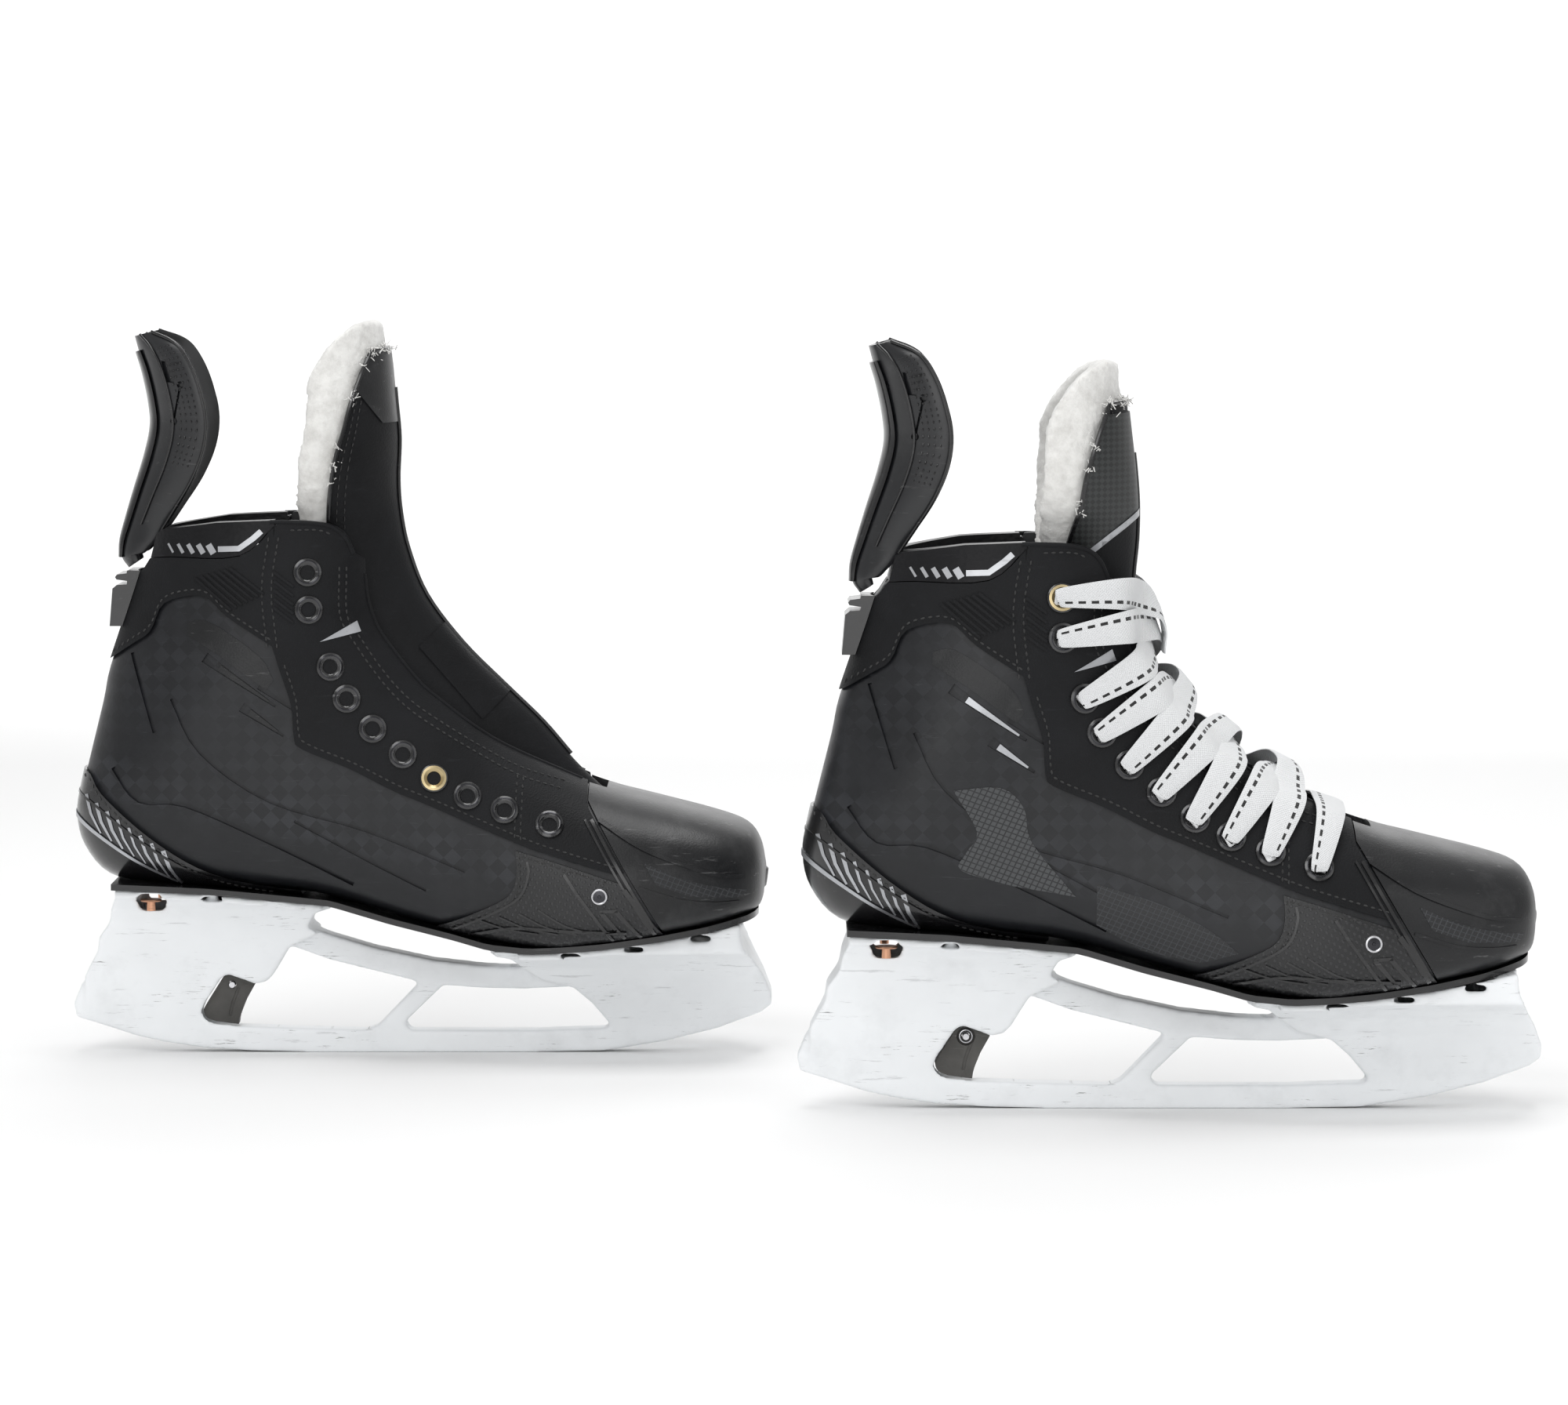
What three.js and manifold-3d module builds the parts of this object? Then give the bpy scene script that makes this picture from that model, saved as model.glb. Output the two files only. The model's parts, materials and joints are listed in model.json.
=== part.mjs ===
// A pair of ice hockey skates, standing on one floor. Millimetres, +Z up, toes towards +X.
// One skate is drawn in its own frame (x = 0 at mid holder, z = 0 at the floor, inner side of
// the foot towards -Y); the right skate is the left one mirrored.
import * as THREE from "three";
import { mergeVertices } from "three/addons/utils/BufferGeometryUtils.js";
import Module from "manifold-3d";

const wasm = await Module();
wasm.setup();

// ---------------------------------------------------------------- driving dimensions
const HOLDER_LENGTH = 290; // tip to tip of the blade holder
const SKATE_HEIGHT = 305; // floor to the top of the tongue
const BALL_WIDTH = 97; // outer width of the boot at the ball of the foot
const PAIR_SPACING = 150; // centre line to centre line
const PAIR_STAGGER = 300; // how far the right skate stands ahead of the left one

const GAP = 0.3; // clearance between neighbouring pieces
const SHELL_WALL = 3.2;
const WRAP_THICKNESS = 1.2; // ankle wrap and facings
const RUBBER_THICKNESS = 1.7; // heel wrap
const FOREFOOT_RUBBER = 1.3;
const TOE_CAP_PROUD = 0.8; // how far the toe cap stands outside the shell
const OUTSOLE_THICKNESS = 2.5;
const FOOTBED_THICKNESS = 4;
const LINER_THICKNESS = 5;
const THROAT_HALF_GAP = 25; // half the opening between the facings at the ankle

const EYELET_FLANGE = 11.8; // outer diameter
const EYELET_BORE = 5.8;
const EYELET_WALL = 0.8;
const EYELET_RIM_HEIGHT = 1.3;
const RIM_STAND = 0.55; // the flat flange clears the curved facing by this much
const STAY_HALF_WIDTH = 4.2; // band through facing and shell that the eyelets are set in
const STAY_INSIDE = 0.8; // how far it stands inside the shell
const LACE_THICKNESS = 3.4; // the lace where it is folded into an eyelet

const TONGUE_FACE = 1.8;
const TONGUE_FELT = 9;
const TONGUE_SEAM = 1.1; // room between the face and the felt where they bend together
const GUARD_THICKNESS = 2.6;
const GUARD_ROOM = 1.5; // space that the flexing tendon guard keeps round itself

const RAIL_HALF_WIDTH = 5.2;
const BEAM_HALF_WIDTH = 6.2;
const RUNNER_SLOT = 3.2; // slot for the steel
const RUNNER_SLOT_DEPTH = 6;
const REAR_FLANGE_HALF = 29;
const FRONT_FLANGE_HALF = 36;
const FLANGE_THICKNESS = 3;
const TOWER_WALL = 3.4;

const TRIGGER_HALF_WIDTH = 3.4;
const TRIGGER_SIDE_GAP = 0.4;
const TRIGGER_TRAVEL = 6; // free space behind the trigger
const PIN_DIAMETER = 2.6;
const PIN_CLEARANCE = 0.3;

const SCREW_DIAMETER = 7;
const RIVET_DISC = 9;
const RIVET_STUB = 3.6;

// Outlines are drawn for these sizes, and stretch to the ones above.
const [DRAWN_LENGTH, DRAWN_HEIGHT, DRAWN_WIDTH] = [290, 305, 97];
const sx = (x) => (x * HOLDER_LENGTH) / DRAWN_LENGTH;
const sz = (z) => (z * SKATE_HEIGHT) / DRAWN_HEIGHT;
const sy = (y) => (y * BALL_WIDTH) / DRAWN_WIDTH;
const place = ([x, z]) => new THREE.Vector2(sx(x), sz(z));

// ---------------------------------------------------------------- solids
function solid(geometry) {
  const g = geometry.clone();
  g.deleteAttribute("normal");
  g.deleteAttribute("uv");
  const merged = mergeVertices(g, 1e-4);
  return new wasm.Manifold(
    new wasm.Mesh({
      numProp: 3,
      vertProperties: new Float32Array(merged.attributes.position.array),
      triVerts: new Uint32Array(merged.index.array),
    }),
  );
}

function mesh(name, body, material) {
  const m = body.getMesh();
  const geometry = new THREE.BufferGeometry()
    .setAttribute("position", new THREE.BufferAttribute(m.vertProperties.slice(), 3))
    .setIndex(new THREE.BufferAttribute(m.triVerts.slice(), 1));
  geometry.computeVertexNormals();
  const made = new THREE.Mesh(geometry, material);
  made.name = name;
  return made;
}

// A closed skin over rings of points, with a fan at each end.
function loft(rings) {
  const n = rings[0].length;
  const ends = [rings[0], rings.at(-1)].map((r) =>
    r.reduce((sum, p) => sum.add(p), new THREE.Vector3()).divideScalar(n),
  );
  const points = [...rings.flat(), ...ends];
  const index = [];
  rings.slice(1).forEach((_, r) => {
    for (let k = 0; k < n; k++) {
      const a = r * n + k;
      const b = r * n + ((k + 1) % n);
      index.push(a, b, b + n, a, b + n, a + n);
    }
  });
  const last = (rings.length - 1) * n;
  for (let k = 0; k < n; k++) {
    const next = (k + 1) % n;
    index.push(points.length - 2, next, k, points.length - 1, last + k, last + next);
  }
  const geometry = new THREE.BufferGeometry().setFromPoints(points).setIndex(index);
  const made = solid(geometry);
  if (made.volume() > 0) return made;
  return solid(geometry.setIndex(index.reverse()));
}

// A side view outline of [x, z] points, as a solid between two values of y.
function side(outline, y0, y1) {
  const shape = new THREE.Shape(outline.map(place));
  const geometry = new THREE.ExtrudeGeometry(shape, { depth: y1 - y0, bevelEnabled: false });
  return solid(geometry.rotateX(Math.PI / 2).translate(0, y1, 0));
}
const wide = (outline) => side(outline, -BALL_WIDTH, BALL_WIDTH);

// A solid of revolution from [radius, height] points, standing at a point along a direction.
function turned(profile, at, direction, segments) {
  const geometry = new THREE.LatheGeometry(
    profile.map(([r, h]) => new THREE.Vector2(r, h)),
    segments,
  );
  const turn = new THREE.Quaternion().setFromUnitVectors(new THREE.Vector3(0, 1, 0), direction);
  geometry.applyMatrix4(new THREE.Matrix4().compose(at, turn, new THREE.Vector3(1, 1, 1)));
  const made = solid(geometry);
  if (made.volume() > 0) return made;
  return solid(geometry.setIndex([...geometry.index.array].reverse()));
}

// ---------------------------------------------------------------- the boot's own surface
// Height of the sole line (underside of the outsole) along the foot.
const SOLE = [
  [-150, 72.5], [-125, 70.9], [-87, 69.1], [-59, 66.5], [-36, 64.3], [-11.5, 57.2],
  [14, 51], [29, 46.8], [45, 45.3], [60, 46], [75, 47.3], [99, 50.5], [117, 53.7],
  [135, 58], [160, 66],
];
// The sole line raised by a thickness in millimetres, from one x to another.
function soleLine(raise, from = -150, to = 160) {
  const up = (raise * DRAWN_HEIGHT) / SKATE_HEIGHT;
  const at = (x) => {
    const i = SOLE.findIndex(([px], k) => k > 0 && px >= x);
    const [[x0, z0], [x1, z1]] = [SOLE[i - 1], SOLE[i]];
    return [x, z0 + ((z1 - z0) * (x - x0)) / (x1 - x0) + up];
  };
  const inner = SOLE.filter(([x]) => x > from && x < to).map(([x]) => x);
  return [from, ...inner, to].map(at);
}
const BOTTOM = OUTSOLE_THICKNESS + GAP;
const onSole = (x) => soleLine(BOTTOM, x, x + 1)[0];

// Sections through the boot, from the toe round the instep to the collar. Each runs from the
// sole or heel line to the top or throat line: half width, share of the run where it is
// widest, squareness of its two halves, and how far it leans to the inner side.
const SECTIONS = [
  [[141.6, 67], [142.4, 80], 12, 0.5, 2.4, 2.4, -5],
  [[139.6, 63.2], [140.4, 88.5], 24, 0.45, 3, 2.4, -4.6],
  [[134, 60.9], [135, 95.4], 33, 0.4, 3.6, 2.4, -4],
  [onSole(121), [122, 100.2], 40.8, 0.38, 4.3, 2.4, -2.7],
  [onSole(92), [95, 107], 47.2, 0.34, 5, 2.4, -0.8],
  [onSole(72), [78, 111.4], 48.5, 0.33, 5, 2.4, 0],
  [onSole(50), [61, 118.5], 47.6, 0.33, 5, 2.4, 0.6],
  [onSole(5), [32, 135.4], 42.6, 0.36, 4.8, 2.5, 0.8],
  [onSole(-38), [10.5, 153.5], 38.6, 0.44, 4.4, 2.7, 0.4],
  [onSole(-62), [2, 162.5], 37.4, 0.48, 4, 2.8, 0.2],
  [onSole(-108), [-10, 179.5], 37.4, 0.52, 3.2, 3, 0],
  [[-127.5, 76.5], [-13.5, 187.5], 38, 0.54, 2.8, 3, 0],
  [[-138, 88], [-15.5, 194], 38.6, 0.55, 2.5, 3, 0],
  [[-141.2, 101], [-16.5, 200], 39, 0.56, 2.3, 3, 0],
  [[-139.2, 115], [-17, 205], 39, 0.56, 2.2, 3, 0],
  [[-131.6, 146], [-17.4, 213], 37.8, 0.56, 2.2, 3, 0],
  [[-128.4, 161], [-17.6, 216.5], 36.8, 0.55, 2.2, 3, 0],
  [[-118.5, 190], [-18, 223], 35.4, 0.53, 2.2, 3, 0],
  [[-114, 204], [-18.4, 226], 35.2, 0.52, 2.2, 3, 0],
  [[-111.5, 216], [-19, 229.5], 35.4, 0.52, 2.2, 3, 0],
];
const RING_POINTS = 14;
const OPEN_TOP = 14; // how far a cutting core runs on past the collar

// The boot's outer surface grown by an amount, as one solid; an open one runs on at the collar.
function boot(grow, open = false) {
  const rings = SECTIONS.map(([low, high, half, share, p, q, lean], i) => {
    const out = place(low);
    const run = place(high).sub(out);
    const length = run.length();
    const along = run.clone().normalize();
    const across = new THREE.Vector2(along.y, -along.x);
    if (i === 0) out.addScaledVector(across, grow);
    if (i === SECTIONS.length - 1) out.addScaledVector(across, -grow - (open ? OPEN_TOP : 0));
    const back = share * length + grow;
    const front = (1 - share) * length + grow;
    return Array.from({ length: RING_POINTS }, (_, k) => {
      const turn = ((k + 0.5) / RING_POINTS) * 2 * Math.PI;
      const [c, s] = [Math.cos(turn), Math.sin(turn)];
      const power = 2 / (c < 0 ? p : q);
      const a = Math.sign(c) * Math.abs(c) ** power;
      const b = Math.sign(s) * Math.abs(s) ** power;
      const d = share * length + a * (c < 0 ? back : front);
      const at = out.clone().addScaledVector(along, d);
      return new THREE.Vector3(at.x, sy(lean) + b * (sy(half) + grow), at.y);
    });
  });
  return loft(rings);
}

// The way that a line of points runs at one of them.
function heading(line, i) {
  const [before, after] = [Math.max(i - 1, 0), Math.min(i + 1, line.length - 1)];
  return line[after].clone().sub(line[before]).normalize();
}

// The line of the facings' edges, from the toe end to the collar, and the gap between them.
const THROAT = [
  [[76, 108], 0.56], [[60, 113], 0.64], [[41, 119.5], 0.78], [[20, 132], 0.88],
  [[2, 147], 0.94], [[-11, 162], 0.97], [[-20, 178], 1], [[-25, 200], 1.02], [[-28, 245], 1.06],
];
function throat(extra, inside, outside) {
  const line = THROAT.map(([p]) => place(p));
  const rings = THROAT.map(([, share], i) => {
    const go = heading(line, i);
    const up = new THREE.Vector2(go.y, -go.x);
    const y = THROAT_HALF_GAP * share + extra;
    const high = line[i].clone().addScaledVector(up, outside);
    const low = line[i].clone().addScaledVector(up, -inside);
    return [
      new THREE.Vector3(low.x, -y, low.y), new THREE.Vector3(high.x, -y, high.y),
      new THREE.Vector3(high.x, y, high.y), new THREE.Vector3(low.x, y, low.y),
    ];
  });
  return loft(rings);
}

// Where a line across the foot meets the boot's surface grown by an amount.
const PICK = 1; // step for the slope of the surface
function surface(x, z, sign, grow) {
  const skin = surface.cache.get(grow) || mesh("skin", boot(grow), new THREE.MeshBasicMaterial());
  surface.cache.set(grow, skin);
  skin.material.side = THREE.DoubleSide;
  const meet = (px, pz) => {
    const from = new THREE.Vector3(px, sign * 2 * BALL_WIDTH, pz);
    const ray = new THREE.Raycaster(from, new THREE.Vector3(0, -sign, 0));
    const hit = ray.intersectObject(skin)[0];
    if (!hit) throw new Error("no boot surface at " + px + ", " + pz);
    return hit.point.y;
  };
  const at = place([x, z]);
  const y = meet(at.x, at.y);
  const slopeX = (meet(at.x + PICK, at.y) - meet(at.x - PICK, at.y)) / (2 * PICK);
  const slopeZ = (meet(at.x, at.y + PICK) - meet(at.x, at.y - PICK)) / (2 * PICK);
  const normal = new THREE.Vector3(-slopeX * sign, sign, -slopeZ * sign).normalize();
  if (normal.y * sign < 0) normal.negate();
  return { point: new THREE.Vector3(at.x, y, at.y), normal };
}
surface.cache = new Map();

// ---------------------------------------------------------------- outlines seen from the side
const TOP_EDGE = [
  [-160, 194], [-122, 194], [-113, 202], [-110, 206.4], [-99.7, 207.4], [-71.6, 208.3],
  [-57, 220.7], [-54, 222.8], [-40.2, 222.3], [-32.8, 220.2], [-28, 215.9], [-25, 209],
  [-10, 200], [70, 200],
];
const TOE_EDGE = [[70, 130], [69.6, 108], [85.3, 80.3], [103.5, 50], [105, 35]]; // toe cap's rear edge
const shifted = (line, dx, dz = 0) => line.map(([x, z]) => [x + dx, z + dz]);
const BOOT_REGION = [...TOP_EDGE, ...TOE_EDGE, [-160, 35]];
const TOE_REGION = [
  ...shifted(TOE_EDGE.slice(0, -2), GAP), ...soleLine(BOTTOM, 101.6, 155), [160, 130],
];
const FACING_SEAM = [[-57, 235], [-57, 220.7], [-62, 196], [-58.3, 171.8]]; // facing to ankle wrap
const FACING_LOWER = [
  [-55.1, 161.2], [-50.8, 147.4], [-49.8, 134.5], [-46.6, 129.7], [-27.4, 121.7],
  [-9.4, 112.7], [5, 106.9], [40.7, 92],
];
const QUARTER_TOP = [
  [-160, 143], [-120, 169.7], [-109.3, 177.1], [-103, 188.8], [-87, 192], [-76.3, 183.5],
];
const FOREFOOT_TOP = [
  [8, 56.6], [25.8, 63.8], [40.2, 71.8], [41.2, 79.2], [40.7, 88.8], [58.8, 83.5], [84, 75.4],
];
const FACING_REGION = [
  ...FACING_SEAM, ...FACING_LOWER, [58.8, 86], [81, 79.5], [85, 80.3], [69.3, 108],
  [69.3, 130], [69.3, 235],
];
const WRAP_REGION = [...QUARTER_TOP, ...shifted(FACING_SEAM, -GAP).reverse(), [-57.3, 240], [-160, 240]];
const HEEL_REGION = [
  [-160, 118.8], [-138, 118.8], [-130, 110], [-110, 93], [-90, 80], [-70, 73.5], [-48, 70.5],
  ...soleLine(BOTTOM, -160 + 10, -48).reverse(), [-160, 74],
];
const FOREFOOT_REGION = [...FOREFOOT_TOP, ...soleLine(BOTTOM, 8, 101).reverse()];
const PAD_REGION = [
  [-109.6, 206.8], [-99.7, 207.8], [-71.6, 208.7], [-57.6, 220.6], [-58.6, 222.8], [-80.6, 222],
  [-87, 221.2], [-97.6, 221.8], [-104, 218.6], [-107, 216.5],
];

// Eyelet centres on the side view, from the collar down.
const EYELETS = [
  [-43.9, 201.8], [-43.4, 186.7], [-34.9, 163.3], [-28.3, 150.2], [-17.8, 137.9],
  [-5.5, 127.5], [7.3, 117.8], [21, 110.7], [36.1, 105], [54.5, 99.3],
];
const SCREW_PLACE = [75, 70.5];

// ---------------------------------------------------------------- curved pads and guards
// A thin channel, lofted over stations along the leg: the middle of its closed side, how deep
// and how wide it is there, and the share of its half turn that it covers.
const CHANNEL_STEPS = 6;
function channel(stations, inset, thickness, facing, cover = 0.94, shrink = 0) {
  const line = stations.map(([p]) => place(p));
  const rings = stations.map(([, depth, half, share = 1], i) => {
    const go = heading(line, i);
    const inwards = new THREE.Vector2(-go.y, go.x).multiplyScalar(facing);
    const at = (u, deep) => {
      const phi = (u * share * cover * Math.PI) / 2;
      const [a, b] = [sx(depth), sy(half) - shrink];
      const nx = Math.cos(phi) * b;
      const ny = Math.sin(phi) * a;
      const k = deep / Math.hypot(nx, ny);
      const d = a * (1 - Math.cos(phi)) + nx * k;
      const p = line[i].clone().addScaledVector(inwards, d);
      return new THREE.Vector3(p.x, b * Math.sin(phi) - ny * k, p.y);
    };
    const steps = Array.from({ length: CHANNEL_STEPS + 1 }, (_, k) => (2 * k) / CHANNEL_STEPS - 1);
    const thin = (u) => thickness * (1 - 0.45 * Math.abs(u) ** 5);
    return [
      ...steps.map((u) => at(u, inset)),
      ...steps.reverse().map((u) => at(u, inset + thin(u))),
    ];
  });
  return loft(rings);
}

// Stations up the tongue: middle of its front, depth, half width, share covered by the face.
const TONGUE_UNLACED = [
  [[75.9, 109.6], 9, 10, 0.9], [[64, 121], 23, 13.2, 0.9], [[50.3, 137], 36, 16.8, 0.9],
  [[35, 152], 42, 20, 0.9], [[17, 170], 45, 22, 0.9], [[2, 190], 46, 23.2, 0.88],
  [[-5.5, 209], 46, 23.6, 0.84], [[-8.6, 224], 45, 27, 0.8], [[-9.6, 238], 44, 34, 0.76],
  [[-9, 255], 42, 38, 0.72], [[-10.2, 270], 38, 38.5, 0.66], [[-11.4, 284], 31, 35, 0.58],
  [[-12.4, 292], 25, 30, 0.5], [[-13.4, 299], 17, 23, 0],
];
const TONGUE_LACED = [
  [[75.7, 108], 9, 10, 0.9], [[60, 112.4], 20, 12, 0.9], [[46, 120], 26, 14.5, 0.9],
  [[27, 132], 29, 16.5, 0.9], [[9, 148], 31, 18, 0.9], [[-5, 166], 33, 19, 0.9],
  [[-13, 184], 38, 19.5, 0.88], [[-15, 204], 42, 20, 0.84], [[-13.6, 222], 43, 25, 0.8],
  [[-13.4, 236], 43, 33, 0.74], [[-14.4, 250], 41, 38, 0.7], [[-16, 264], 36, 38, 0.62],
  [[-17.4, 276], 29, 33, 0.52], [[-19, 286], 19, 24, 0],
];
const TONGUE_TOP = 6; // the felt stands this far above the face
function tonguePieces(stations) {
  const faceRows = stations.filter(([, , , share]) => share > 0);
  const [[x, z], depth, half] = stations.at(-1);
  const feltRows = stations.map(([p, d, h]) => [p, d, h]);
  feltRows.push([[x - 3, z + TONGUE_TOP], depth * 0.5, half * 0.55]);
  const felt = channel(feltRows, TONGUE_FACE + TONGUE_SEAM, TONGUE_FELT, 1);
  const face = channel(faceRows, 0, TONGUE_FACE, 1);
  return { felt, face };
}

// Stations up the tendon guard: middle of its back, depth of its wings and half width.
const GUARD = [
  [[-120.6, 201.5], 7, 8.5], [[-123.4, 206], 10, 10], [[-123, 213], 14, 11.5], [[-120.6, 222], 18, 13],
  [[-117, 234], 22, 17], [[-112.6, 248], 26, 21.5], [[-110, 260], 27.5, 24.5], [[-110.6, 270], 26.5, 25.5],
  [[-113, 282], 24, 24.5], [[-115.6, 291], 19, 21.5], [[-117.2, 297], 10, 15],
];
function guardRoom() {
  const rings = GUARD.map(([p, depth, half], i) => {
    const [x0, x1] = [sx(p[0]) - GUARD_ROOM, sx(p[0] + depth + 3) + GUARD_ROOM];
    const z = sz(p[1]) + (i === 0 ? -GUARD_ROOM : 0);
    return Array.from({ length: 12 }, (_, k) => {
      const turn = ((k + 0.5) / 12) * 2 * Math.PI;
      const square = (v) => Math.sign(v) * Math.sqrt(Math.abs(v)); // a rounded rectangle
      const x = (x0 + x1) / 2 + ((x1 - x0) / 2) * square(Math.cos(turn)) * 1.02;
      return new THREE.Vector3(x, (sy(half) + GUARD_ROOM) * square(Math.sin(turn)) * 1.04, z);
    });
  });
  return loft(rings);
}

// ---------------------------------------------------------------- the blade holder
const HOLDER_BOTTOM = [
  [-143.6, 14.8], [-130, 10.6], [-118.9, 6.9], [-107.2, 4.3], [-91.2, 1.9], [-70, 0.6], [-48.7, 0],
  [48, 0], [74.7, 0.6], [88.5, 2.7], [101.3, 4.8], [122.6, 10.1], [140.6, 17], [145, 20.4],
];
const HOLDER_REAR = [
  [-144.8, 20.4], [-141.2, 29.3], [-136.9, 37.8], [-134, 43.1], [-133.2, 48.9], [-128.6, 55.3],
  [-127.2, 62], [-124.8, 67.5],
];
const HOLDER_TOE = [[145, 25.5], [141.7, 33.5], [137.4, 41], [133.2, 48.2], [132.4, 53]];
const REAR_TOWER_FRONT = [
  [-38, 61.6], [-43.4, 59.6], [-46.8, 53.7], [-42, 50.8], [-54.6, 44.7], [-61.5, 33], [-64, 9.6],
];
const FRONT_TOWER_REAR = [
  [78, 9.6], [70.5, 20.8], [63, 27.7], [50, 31], [42, 37], [37.5, 41.4], [31, 43],
];
const REAR_SPAN = [-124.8, -36.5];
const FRONT_SPAN = [29, 133.4];
const UPPER_WINDOW = [
  [-46.8, 53.7], [-45.6, 52.4], [-38, 49.5], [-20, 44.1], [4.4, 38.8], [26.9, 36.2], [39.6, 35.9],
  [41.6, 37],
];
const REAR_WINDOW = [
  [-54.6, 44.7], [-61.5, 33], [-64.4, 29.9], [-69.2, 28.9], [-80.4, 33.2], [-83.4, 31.4], [-90.8, 19.8],
  [-91.5, 17], [-90, 13.7], [-86, 12.2], [-76.3, 11], [-48.7, 10.1], [-23.2, 9.4], [-18.4, 11.2],
  [-0.9, 29.5], [-16.8, 33.5], [-38.1, 38.8],
];
const FRONT_WINDOW = [
  [8.8, 28.2], [-6.7, 13.3], [-6.7, 11.2], [-4.6, 9.4], [48.1, 9.3], [76.8, 10.3], [77.9, 11.7],
  [70.5, 20.8], [63, 27.7], [42.8, 26.6], [26.9, 26.9],
];
const TRIGGER = [
  [-80.6, 32.6], [-69.6, 28.4], [-73.3, 21.8], [-75.8, 15.4], [-76.5, 11.6], [-85.9, 12.8],
  [-89.5, 14.3], [-90.9, 17], [-90.1, 19.6], [-83, 31],
];
const PIN_PLACE = [-79, 28.2];
const SPRING_WIDTH = 1;
const RIVET_PLACE = [-110.4, 66]; // the one pocket whose rivet is open to view on each side

// Half widths of a tower at heights above the floor, as a solid along the foot.
function taper(levels, x0, x1, inset = 0) {
  const half = levels.map(([y, z]) => [Math.max(sy(y) - inset, 1), sz(z)]);
  const outline = [...half, ...half.map(([y, z]) => [-y, z]).reverse()];
  const shape = new THREE.Shape(outline.map(([y, z]) => new THREE.Vector2(y, z)));
  const geometry = new THREE.ExtrudeGeometry(shape, { depth: sx(x1) - sx(x0), bevelEnabled: false });
  geometry.rotateX(Math.PI / 2).rotateZ(Math.PI / 2).translate(sx(x0), 0, 0);
  return solid(geometry);
}
const RAIL = (RAIL_HALF_WIDTH * DRAWN_WIDTH) / BALL_WIDTH;
const REAR_TAPER = [
  [RAIL, -1], [RAIL, 13], [6.6, 22], [9.5, 36], [13, 48], [16.5, 57], [20, 62], [25, 66.4],
  [REAR_FLANGE_HALF, 67.4], [REAR_FLANGE_HALF, 80],
];
const FRONT_TAPER = [
  [RAIL, -1], [RAIL, 12], [7.2, 20], [12, 30], [18, 37], [24, 41], [30, 43.4],
  [FRONT_FLANGE_HALF, 45], [FRONT_FLANGE_HALF, 70],
];

function flange([from, to], half) {
  const line = soleLine(-GAP, from, to);
  const outline = [...line, ...soleLine(-GAP - FLANGE_THICKNESS, from, to).reverse()];
  const plate = side(outline, -sy(half), sy(half));
  const corner = 14; // plan corners of the flange
  const [x0, x1, y] = [sx(from), sx(to), sy(half)];
  const plan = new THREE.Shape();
  plan.moveTo(x0 + corner, -y).lineTo(x1 - corner, -y).quadraticCurveTo(x1, -y, x1, corner - y);
  plan.lineTo(x1, y - corner).quadraticCurveTo(x1, y, x1 - corner, y).lineTo(x0 + corner, y);
  plan.quadraticCurveTo(x0, y, x0, y - corner).lineTo(x0, corner - y);
  plan.quadraticCurveTo(x0, -y, x0 + corner, -y);
  const sizes = { depth: SKATE_HEIGHT, bevelEnabled: false, curveSegments: 2 };
  return plate.intersect(solid(new THREE.ExtrudeGeometry(plan, sizes)));
}

function tower(outline, levels, span) {
  const [from, to] = [span[0] - 15, span[1] + 15];
  const underSole = wide([...soleLine(-GAP, from, to), [to, -5], [from, -5]]);
  return wide(outline).intersect(taper(levels, from - 10, to)).intersect(underSole);
}

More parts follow.
